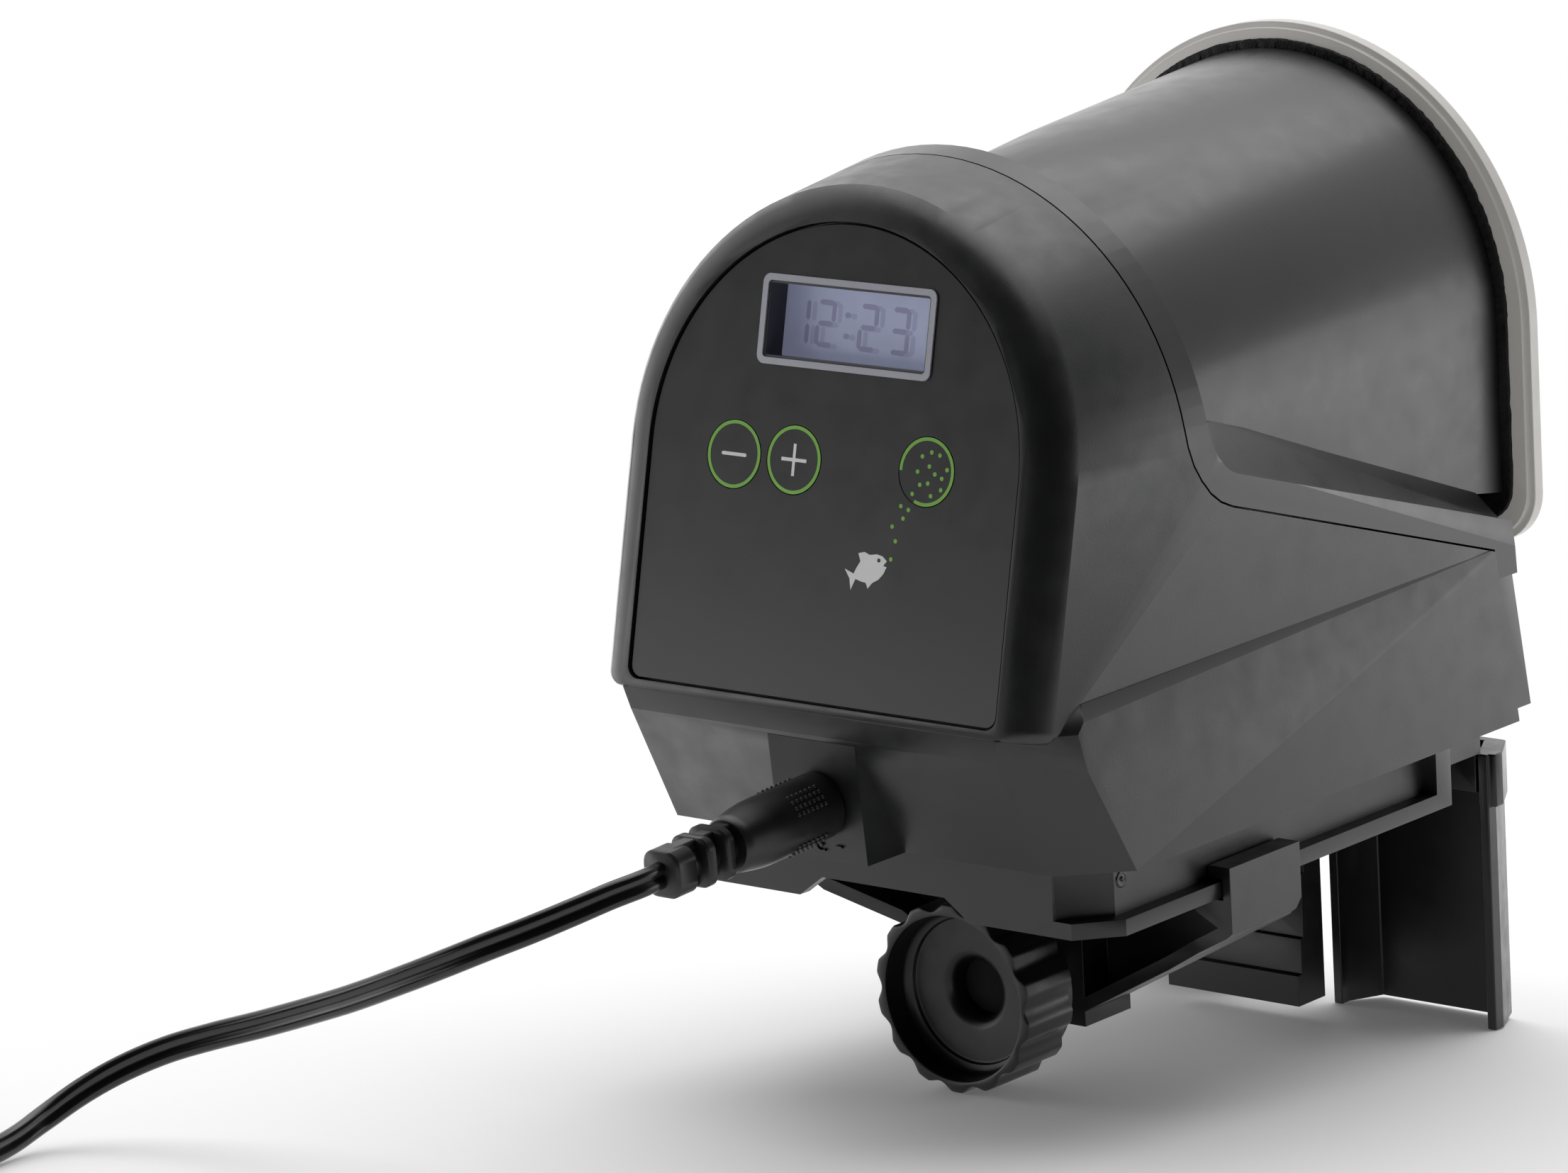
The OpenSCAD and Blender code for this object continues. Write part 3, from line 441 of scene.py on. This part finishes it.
def joined(parts):
    """Several (points, faces) as one."""
    points, faces = [], []
    for some, more in parts:
        start = len(points)
        points += some
        faces += [tuple(i + start for i in face) for face in more]
    return points, faces


def moved(part, matrix):
    return [matrix @ p for p in part[0]], part[1]


# ---- the lead ----

LEAD_WIDTH = 4 * MM
LEAD_THICK = 2 * MM
# from the plug's sleeve down to the table and into the coil
ROUTE_MM = [
    (0.6, -95.5, 43.3), (0.3, -99.5, 42.6), (-1.2, -104.2, 41.5), (-3.8, -108.8, 39.7),
    (-8.2, -113.1, 37.2), (-13.5, -116.4, 34.6), (-19.8, -118.6, 31.6), (-27.3, -119.7, 28.3),
    (-35.8, -119.8, 24.8), (-44.8, -119.6, 21.5), (-53.4, -120.1, 18.5), (-61, -121.7, 16),
    (-67.4, -124.4, 13.6), (-72.5, -128.3, 10.8), (-76, -133, 7.8), (-77.7, -139, 4.7),
    (-77.1, -145.5, 2.9), (-76, -152, 2.3), (-75.7, -159, 2.5), (-76.1, -166.7, 2.8),
]
TAIL_MM = [(-76, -169.5, 6.9), (-76, -176, 6.9), (-76, -182, 6.9), (-76, -188, 6.9)]
COIL_CENTRE_MM = (-102.7, -169.5)
COIL_OUTER_MM = 26.75
COIL_LAYER_TURNS = 5
COIL_STEP_MM = 2.1
COIL_HEIGHTS_MM = (2.75, 6.85)
COIL_ENTRY = math.radians(6)


def smooth_path(points, parts):
    """Catmull-Rom curve through the points, with that many parts to each stretch."""
    path = []
    last = len(points) - 1
    for i in range(last):
        before, a, b, after = (points[max(0, min(last, i + k))] for k in (-1, 0, 1, 2))
        for k in range(parts):
            t = k / parts
            path.append(
                0.5 * (2 * a + (b - before) * t + (2 * before - 5 * a + 4 * b - after) * t * t
                       + (3 * a - before - 3 * b + after) * t ** 3)
            )
    path.append(points[-1])
    return path


def coil_path(steps_per_turn=48):
    """Two layers of turns: inwards below, then outwards on top."""
    sweep = 2 * COIL_LAYER_TURNS * TAU + COIL_ENTRY
    steps = round(sweep / TAU * steps_per_turn)
    path = []
    for k in range(1, steps):
        past_middle = k / steps * 2 * COIL_LAYER_TURNS - COIL_LAYER_TURNS
        radius = COIL_OUTER_MM - COIL_STEP_MM * (COIL_LAYER_TURNS - abs(past_middle))
        rise = max(0.0, min(1.0, (past_middle + 0.3) / 0.6))
        rise = rise * rise * (3 - 2 * rise)
        height = COIL_HEIGHTS_MM[0] + rise * (COIL_HEIGHTS_MM[1] - COIL_HEIGHTS_MM[0])
        angle = COIL_ENTRY - k / steps * sweep
        path.append(Vector(COIL_CENTRE_MM + (0,)) + turned(radius, angle, height))
    return path


def twin_section():
    """Figure of eight that stands on edge: two insulated cores with a web between them."""
    core = LEAD_THICK / 2
    centre = LEAD_WIDTH / 2 - core
    angles = [math.radians(-36 + 31.5 * k) for k in range(9)]
    upper = [(core * math.cos(a), centre + core * math.sin(a)) for a in angles]
    lower = [(-x, -y) for x, y in upper]
    waist = core * 0.5
    return upper + [(-waist, 0)] + lower + [(waist, 0)]


def tube(path, section):
    """Points and faces of a section carried along a path with its long axis upright."""
    points, last = [], len(path) - 1
    for i, centre in enumerate(path):
        along = (path[min(i + 1, last)] - path[max(i - 1, 0)]).normalized()
        side = along.cross(Vector((0, 0, 1))).normalized()
        up = side.cross(along)
        points += [centre + side * x + up * y for x, y in section]
    return points, bands(len(path), len(section)) + ends(len(path), len(section))


def add_lead():
    route = smooth_path([Vector(p) for p in ROUTE_MM], 5)
    tail = smooth_path([Vector(p) for p in TAIL_MM], 4)
    path = [p * MM for p in route + coil_path() + tail]
    points, faces = tube(path, twin_section())
    nodes = ["lead_run", "lead_coil", "lead_tail"]
    lead = piece("twin_lead", mesh_from(points, faces), "housing", "lead", nodes, smooth=50)


# ---- housing, hopper and clamp: the frame's shapes with rounded edges ----

def add_mouldings():
    moulded("front_housing", "housing", "housing", 0.45 * MM, 3)
    moulded("hopper_shell", "housing", "hopper", 0.45 * MM, 3)
    moulded("hopper_collar", "housing", "hopper", 0.45 * MM, 3)
    moulded("hopper_lid", "lid", "lid", 0.6 * MM, 3)
    moulded("base_plate", "housing", "housing", 0.3 * MM)
    moulded("rear_jaw", "housing", "clamp", 0.3 * MM)
    moulded("clamp_slide", "slide", "clamp", 0.35 * MM)
    moulded("clamp_nut", "slide", "brass", 0.3 * MM)
    moulded("pressure_plate", "plate", "clamp", 0.3 * MM)
    moulded("panel_plate", "housing", "panel", 0.12 * MM)
    moulded("wall_adapter", "housing", "black_plastic", 0.8 * MM, 3)
    moulded("adapter_pins", "housing", "pins", 0.5 * MM, 3)
    moulded("lead_tie", "housing", "black_plastic", 0.2 * MM)


def add_gasket():
    """Foam sheet whose edge is torn and uneven."""
    work = bmesh.new()
    work.from_mesh(clean_copy("lid_gasket"))
    bmesh.ops.triangulate(work, faces=work.faces)
    for _ in range(4):
        long_edges = [e for e in work.edges if e.calc_length() > 0.9 * MM]
        if not long_edges:
            break
        bmesh.ops.subdivide_edges(work, edges=long_edges, cuts=1)
    work.normal_update()
    for v in work.verts:
        crumb = noise.noise(v.co / (0.8 * MM)) + 0.6 * noise.noise(v.co / (2.5 * MM))
        v.co += v.normal * (crumb - 0.6) * 0.16 * MM
    mesh = bpy.data.meshes.new("gasket")
    work.to_mesh(mesh)
    work.free()
    piece("foam_gasket", mesh, "lid", "gasket", ["lid_gasket"], smooth=180)


# ---- clamp screw ----

THREAD_PITCH = 2 * MM
SCREW_FRONT, SCREW_REAR = 24.4 * MM, 85.8 * MM
COLLAR = (79.4 * MM, 81.7 * MM)


def threaded_rod(start, end, radius, depth, around=36, rows_per_turn=10):
    """Rod along Z with one trapezoid thread."""
    rows = round((end - start) / THREAD_PITCH * rows_per_turn)
    points = []
    for i in range(rows + 1):
        z = start + (end - start) * i / rows
        for k in range(around):
            phase = (z / THREAD_PITCH - k / around) % 1
            valley = min(1.0, max(0.0, (abs(2 * phase - 1) - 0.25) / 0.5))
            edge = min(1.0, min(i, rows - i) / (rows_per_turn * 0.4))
            r = (radius - depth * valley) * (0.82 + 0.18 * edge)
            points.append(turned(r, TAU * k / around, z))
    return points, bands(rows + 1, around) + ends(rows + 1, around)


def add_clamp_screw():
    rod = threaded_rod(SCREW_FRONT, SCREW_REAR, 3 * MM, 0.55 * MM)
    rim, bevel = 4.6 * MM, 0.35 * MM
    collar = revolved([
        (2.4 * MM, COLLAR[0]), (rim - bevel, COLLAR[0]), (rim, COLLAR[0] + bevel),
        (rim, COLLAR[1] - bevel), (rim - bevel, COLLAR[1]), (2.4 * MM, COLLAR[1]),
    ])
    points, faces = joined([rod, collar])
    piece("clamp_screw_thread", mesh_from(points, faces, CLAMP), "knob", "steel", ["clamp_screw"], smooth=50)


# ---- plug ----

PLUG = (
    BODY
    @ Matrix.Translation((0.6 * MM, -13.65 * MM, 18.9 * MM))
    @ Matrix.Rotation(math.radians(93), 4, "X")
)


def grip_dots(body_r):
    """Four patches of dots, a quarter turn apart, four rows of seven in each."""
    dot_r, pitch, first, lean = 0.31 * MM, 0.98 * MM, 3.9 * MM, math.radians(40)
    profile = [(1, -0.1 * MM), (0.92, 0.1 * MM), (0.6, 0.24 * MM), (0.2, 0.28 * MM)]
    dot = revolved([(dot_r * share, height) for share, height in profile], 10)
    dots = []
    for quarter in range(4):
        for row in range(4):
            angle = quarter * TAU / 4 + lean + (row - 1.5) * pitch / body_r
            for column in range(7):
                spot = (
                    Matrix.Rotation(angle, 4, "Z")
                    @ Matrix.Translation((body_r, 0, first + column * pitch))
                    @ Matrix.Rotation(math.pi / 2, 4, "Y")
                )
                dots.append(moved(dot, spot))
    return dots


def add_plug():
    """Moulded plug: straight body with rounded edge and patches of grip dots, and a taper to the sleeve."""
    body_r, end_r = 4.95 * MM, 4.1 * MM
    profile = [
        (2.7 * MM, 0), (body_r - 0.6 * MM, 0), (body_r - 0.18 * MM, 0.18 * MM),
        (body_r, 0.6 * MM), (body_r, 13 * MM),
    ]
    for k in range(1, 7):
        t = k / 6
        profile.append((body_r + (end_r - body_r) * (t * t * (1.6 - 0.6 * t)), (13.6 + 6.8 * t) * MM))
    profile += [(end_r - 0.3 * MM, 20.75 * MM), (2 * MM, 20.8 * MM)]
    parts = [revolved(profile, 72)]
    barrel = [
        (1.3 * MM, -0.9 * MM), (1.3 * MM, -3.7 * MM), (2.45 * MM, -3.9 * MM),
        (2.7 * MM, -3.65 * MM), (2.7 * MM, 0.4 * MM),
    ]
    parts.append(revolved(barrel, 48))
    parts += grip_dots(body_r)
    points, faces = joined(parts)
    mesh = mesh_from(points, faces, PLUG)
    piece("moulded_plug", mesh, "housing", "black_plastic", ["power_plug"], smooth=45)


def add_sleeve():
    """Bend relief: thick ribs with deep slots between them, on a core with a spine above and below."""
    start, end, pitch, slot_w = 20.7 * MM, 34.8 * MM, 3.85 * MM, 2.15 * MM
    parts = [revolved([(2.3 * MM, start - 0.4 * MM), (2.1 * MM, end - 1 * MM)], 32)]
    for i in range(2):
        near = start + slot_w + i * pitch
        size = (7.4 - 0.3 * i) * MM
        parts.append(slab(size, size + 0.2 * MM, 1.9 * MM, near, near + pitch - slot_w))
    parts.append(slab(6.7 * MM, 6.8 * MM, 2.1 * MM, start + slot_w + 2 * pitch, end, 0.4 * MM))
    spine = slab(2.4 * MM, 1.6 * MM, 0.4 * MM, start - 0.3 * MM, end - 2 * MM)
    for side in (1, -1):
        parts.append(moved(spine, Matrix.Translation((0, side * 2.65 * MM, 0))))
    points, faces = joined(parts)
    mesh = mesh_from(points, faces, PLUG)
    piece("bend_relief", mesh, "housing", "black_plastic", ["plug_sleeve"], smooth=45)


# ---- the clamp knob ----

KNOB_FRONT = 14.2 * MM
KNOB_LOBES = 14
SCALLOP = 0.95 * MM
# from the bottom of the hole to the back: radius and distance from the front in mm, share of the scallop
KNOB_PROFILE_MM = [
    (0.001, 9, 0), (4.3, 9, 0), (4.4, 7.2, 0), (4.6, 6.3, 0), (5.2, 5.65, 0), (6.1, 5.42, 0),
    (10.6, 5.4, 0), (10.95, 5.3, 0), (11.2, 4.85, 0), (11.6, 4.7, 0), (12.15, 4.3, 0), (12.35, 3.6, 0),
    (12.4, 0.6, 0), (12.55, 0.15, 0), (12.8, 0, 0), (13.95, 0.02, 0.9), (14.2, 0.15, 1), (14.3, 0.45, 1),
    (14.3, 10.5, 1), (14, 10.8, 1), (12.9, 10.85, 0), (12.9, 12.1, 0), (12.6, 12.4, 0), (3.2, 12.4, 0),
    (3.1, 9.6, 0), (0.001, 9.5, 0),
]


def scallop(turn_share):
    """Depth of the hollow between two lobes, 0 to 1, along one lobe's share of the turn."""
    off_middle = abs(turn_share % 1 - 0.5)
    return math.cos(min(off_middle / 0.36, 1) * math.pi / 2) ** 1.3


def add_knob():
    """Scalloped knob: shallow hollows around its edge, a dished front with a step, and a soft-edged hole."""
    steps = 20
    count = KNOB_LOBES * steps
    points = []
    for radius, depth, share in KNOB_PROFILE_MM:
        for k in range(count):
            r = radius * MM - share * SCALLOP * scallop(k / steps)
            points.append(turned(r, TAU / 4 + TAU * k / count, depth * MM))
    place = CLAMP @ Matrix.Translation((0, 0, KNOB_FRONT))
    mesh = mesh_from(points, bands(len(KNOB_PROFILE_MM), count), place)
    piece("scalloped_knob", mesh, "knob", "clamp", ["clamp_knob"], smooth=40)
    points, faces = revolved([(0.01 * MM, 8.9 * MM), (4.3 * MM, 8.9 * MM), (4.3 * MM, 9.1 * MM)], 48)
    piece("knob_hole_shade", mesh_from(points, faces, place), "knob", "clamp", material=SHADE)


# ---- print on the panel and figures on the display ----

def relief(name, outlines, top, thick, matrix, body, slot, material):
    """Flat shapes, drawn in a plane, with a little thickness below their top face."""
    work = bmesh.new()
    for outline in outlines:
        work.faces.new([work.verts.new((x, y, 0)) for x, y in outline])
    bmesh.ops.remove_doubles(work, verts=work.verts, dist=1e-7)
    sheet = list(work.faces)
    raised = bmesh.ops.extrude_face_region(work, geom=sheet, use_keep_orig=True)
    for v in (g for g in raised["geom"] if isinstance(g, bmesh.types.BMVert)):
        v.co.z += thick
    bmesh.ops.recalc_face_normals(work, faces=work.faces)
    mesh = bpy.data.meshes.new(name)
    work.to_mesh(mesh)
    work.free()
    mesh.transform(matrix @ Matrix.Translation((0, 0, top - thick)))
    return piece(name, mesh, body, slot, material=material, smooth=30)


def ring(at, radius, line, start=0.0, sweep=TAU, steps=96):
    """Quads of a circle line or an arc of one."""
    closed = sweep >= TAU
    count = steps if closed else max(8, round(steps * sweep / TAU))
    spokes = [start + sweep * k / count for k in range(count + 1)]
    at_angle = lambda r, a: (at[0] + r * math.cos(a), at[1] + r * math.sin(a))
    inner, outer = radius - line / 2, radius + line / 2
    return [
        [at_angle(outer, a), at_angle(outer, b), at_angle(inner, b), at_angle(inner, a)]
        for a, b in zip(spokes, spokes[1:])
    ]


def disc(at, radius, steps=20):
    angles = [TAU * k / steps for k in range(steps)]
    return [(at[0] + radius * math.cos(a), at[1] + radius * math.sin(a)) for a in angles]


def bar(at, length, line, angle=0.0):
    """Stroke with rounded ends."""
    half, r = length / 2 - line / 2, line / 2
    shape = []
    for end, turn in ((half, -math.pi / 2), (-half, math.pi / 2)):
        angles = [turn + math.pi * k / 8 for k in range(9)]
        shape += [(end + r * math.cos(a), r * math.sin(a)) for a in angles]
    c, s = math.cos(angle), math.sin(angle)
    return [(at[0] + x * c - y * s, at[1] + x * s + y * c) for x, y in shape]


def plus(at, length, line):
    """Outline of a plus sign as one shape."""
    a, b = length / 2, line / 2
    quarter = [(b, b), (b, a), (-b, a)]
    shape = []
    for _ in range(4):
        shape += quarter
        quarter = [(-y, x) for x, y in quarter]
    return [(at[0] + x, at[1] + y) for x, y in shape]


PRINT = 0.03 * MM
PRINT_TOP = PANEL_TOP + PRINT
RING_R = 4.62 * MM
RING_LINE = 0.5 * MM
SIGN_SIZE = 4.6 * MM
GRAIN_R = 0.32 * MM
# food grains, in mm from the middle of the feed key: inside its ring, and falling out of it
GRAINS_INSIDE_MM = [
    (-1, 2.1), (0.6, 2.8), (2.1, 2.5), (0.4, 0.8), (-1.6, -0.1), (3.6, 0.6), (1.5, -0.2), (2.8, -0.7),
    (-1, -1.9), (0.4, -1.6), (2.8, -2.3), (1.1, -3.3), (-2.2, -3.3),
]
GRAINS_BELOW_MM = [(-4, -5.2), (-2.6, -5.6), (-3.4, -6.9), (-5.2, -8.2), (-4.4, -10.2), (-4.9, -12.8)]
FISH_AT_MM = (8.4, 19.6)
FISH_TURN = math.radians(24)
FISH_EYE_MM = (2.3, 0.75)
FISH_OUTLINE_MM = [
    (3.6, 0.2), (3.1, 1.1), (2.2, 1.7), (1, 2), (0.2, 2.7), (-0.9, 2.9), (-0.9, 1.7),
    (-1.9, 1), (-2.6, 0.4), (-3.9, 1.6), (-3.5, 0), (-3.8, -1.6), (-2.5, -0.4), (-1.6, -1.1),
    (-0.9, -1.5), (-0.8, -2.4), (0.2, -1.9), (1.4, -1.8), (2.5, -1.3), (3.3, -0.6), (2.8, -0.2),
]


def frame_quads(at, outer, inner):
    """Quads between two outlines of as many points, moved to a place."""
    outer = [(x + at[0], y + at[1]) for x, y in outer]
    inner = [(x + at[0], y + at[1]) for x, y in inner]
    count = len(outer)
    return [[outer[k], outer[(k + 1) % count], inner[(k + 1) % count], inner[k]] for k in range(count)]


def add_display_frame():
    """Light rim on the panel, and the walls of the recess that the glass lies in, coloured dark as painted shade.
    """
    w, h = 31.6 * MM, 12.9 * MM
    line = 0.95 * MM
    outside = rounded_loop(w, h, 1.3 * MM)
    inside = rounded_loop(w - 2 * line, h - 2 * line, 0.6 * MM)
    rim = frame_quads(LCD_AT, outside, inside)
    thing = relief("display_rim", rim, -0.1 * MM, 0.28 * MM, PANEL, "housing", "bezel", MATERIALS["bezel"])
    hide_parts("display_frame")
    w, h, wall = w - 1.7 * MM, h - 1.7 * MM, 0.45 * MM
    outside = rounded_loop(w, h, 0.3 * MM)
    inside = rounded_loop(w - 2 * wall, h - 2 * wall, 0.3 * MM)
    walls = frame_quads(LCD_AT, outside, inside)
    # recess walls coloured dark as painted shade
    relief("display_recess", walls, -0.4 * MM, 3.7 * MM, PANEL, "housing", "bezel", RECESS_PAINTED_SHADE)


def printed(name, outlines, body, ink, raised=0.0):
    relief(name, outlines, PRINT_TOP + raised, PRINT, PANEL, body, "panel", ink)


def add_print():
    mm = lambda p, at=(0, 0): (at[0] + p[0] * MM, at[1] + p[1] * MM)
    for name, sign in (("key_minus", bar), ("key_plus", plus)):
        printed(name + "_ring", ring(KEYS[name], RING_R, RING_LINE), name, INK_GREEN)
        printed(name + "_sign", [sign(KEYS[name], SIGN_SIZE, RING_LINE)], name, INK_WHITE)
    feed = KEYS["key_feed"]
    grains, falling = (
        [disc(mm(p, feed), GRAIN_R, 14) for p in places] for places in (GRAINS_INSIDE_MM, GRAINS_BELOW_MM)
    )
    open_ring = ring(feed, RING_R, RING_LINE, math.radians(-112), math.radians(294))
    printed("key_feed_ring", open_ring + grains, "key_feed", INK_GREEN)
    printed("falling_grains", falling, "housing", INK_GREEN)
    c, s = math.cos(FISH_TURN), math.sin(FISH_TURN)
    on_fish = lambda p: mm((p[0] * c - p[1] * s, p[0] * s + p[1] * c), mm(FISH_AT_MM))
    printed("fish_sign", [[on_fish(p) for p in FISH_OUTLINE_MM]], "housing", INK_WHITE)
    eye = disc(on_fish(FISH_EYE_MM), 0.3 * MM, 14)
    printed("fish_eye", [eye], "housing", MATERIALS["panel"], raised=0.01 * MM)


# which of the seven segments each figure lights, x for lit:
# top, upper left, upper right, middle, lower left, lower right, foot
FIGURES = {"1": "--x--x-", "2": "x-xxx-x", "3": "x-xx-xx"}
FIGURE_AT_MM = [("1", -12.0), ("2", -7.3), ("2", 0.5), ("3", 6.3)]
COLON_MM = -3.3
FIGURE_W, FIGURE_H = 3.6 * MM, 6.8 * MM
SEGMENT_LINE = 0.75 * MM


def segment(at, length, upright):
    """Bar with pointed ends."""
    a, b = length / 2, SEGMENT_LINE / 2
    shape = [(-a, 0), (-a + b, -b), (a - b, -b), (a, 0), (a - b, b), (-a + b, b)]
    if upright:
        shape = [(-y, x) for x, y in shape]
    return [(at[0] + x, at[1] + y) for x, y in shape]


def figure(digit, x):
    """Outlines of one figure's lit segments, around a place on the display's middle line."""
    w, h, clear = (FIGURE_W - SEGMENT_LINE) / 2, (FIGURE_H - SEGMENT_LINE) / 2, 0.12 * MM
    across, up, level = 2 * w - clear, h - clear, FIGURE_H / 4
    places = [
        ((0, h), across, False), ((-w, level), up, True), ((w, level), up, True), ((0, 0), across, False),
        ((-w, -level), up, True), ((w, -level), up, True), ((0, -h), across, False),
    ]
    lit = [place for place, sign in zip(places, FIGURES[digit]) if sign == "x"]
    return [segment((x + at[0], LCD_AT[1] + at[1]), length, upright) for at, length, upright in lit]


def add_figures():
    """The time on the display, with the soft second image that its reflector gives."""
    shapes = [outline for digit, x in FIGURE_AT_MM for outline in figure(digit, x * MM)]
    for side in (-1, 1):
        shapes.append(bar((COLON_MM * MM, LCD_AT[1] + side * 1.5 * MM), 1.1 * MM, 0.8 * MM))
    layer = 0.015 * MM
    ground = -5.2 * MM
    aside, down = 1.1 * MM, 0.1 * MM
    shade = [[(x + aside, y - down) for x, y in outline] for outline in shapes]
    relief("display_shade", shade, ground + layer, layer, PANEL, "housing", "display", SEGMENT_SHADE)
    relief("display_figures", shapes, ground + 2.2 * layer, layer, PANEL, "housing", "display", SEGMENT)


# ---- small marks of moulding ----

def gate_mark(name, place, facing, radius, body):
    """Ring and nib that a mould's gate leaves on a surface."""
    profile = [
        (1, -0.05 * MM), (1, 0.05 * MM), (0.85, 0.16 * MM), (0.6, 0.05 * MM),
        (0.3, 0.03 * MM), (0.22, 0.2 * MM), (0.08, 0.24 * MM),
    ]
    points, faces = revolved([(radius * share, height) for share, height in profile], 20)
    for p in points:
        p.x *= 1 + 0.25 * noise.noise(p / (0.7 * MM))
        p.z += 0.05 * MM * noise.noise(p / (0.4 * MM)) if p.z > 0 else 0
    turn = Vector(facing).to_track_quat("Z", "Y").to_matrix().to_4x4()
    mesh = mesh_from(points, faces, BODY @ Matrix.Translation(Vector(place) * MM) @ turn)
    piece(name, mesh, body, "clamp", smooth=60)


def add_marks():
    for name, side in (("gate_mark_base", 1), ("gate_mark_base_left", -1)):
        gate_mark(name, (side * 37, 8.4, 7.4), (side, 0, 0), 1.3 * MM, "housing")
    on_boss = Matrix.Translation((0, -12.9 * MM, 12.8 * MM)) @ Matrix.Rotation(math.radians(94.9), 4, "X")
    boss = BODY @ on_boss
    signs = ring((0, 0), 0.95 * MM, 0.35 * MM, math.radians(50), math.radians(260), 40)
    signs.append(disc((0, 0), 0.3 * MM, 12))
    signs += [bar((side * 3.2 * MM, 0), 1.3 * MM, 0.4 * MM) for side in (1, -1)]
    relief("polarity_sign", signs, 0.3 * MM, 0.4 * MM, boss, "housing", "housing", MATERIALS["housing"])


def dress_nodes():
    """Every node that stays gets the finish of its slot."""
    subparts = [s for s in frame["record"]["subparts"] if "node" in s]
    slots = {s["node"]: s.get("material_slot") or s.get("slot") for s in subparts}
    for name, node in frame["nodes"].items():
        slot = slots.get(name) or "black_plastic"
        node.data.materials.clear()
        node.data.materials.append(MATERIALS.get(slot, MATERIALS["black_plastic"]))


add_camera()
add_world()
add_floor()
add_lights()
bpy.context.scene.view_settings.view_transform = "Standard"
dress_nodes()
add_lead()
add_mouldings()
add_gasket()
add_clamp_screw()
add_plug()
add_sleeve()
add_knob()
add_display_frame()
add_print()
add_figures()
add_marks()
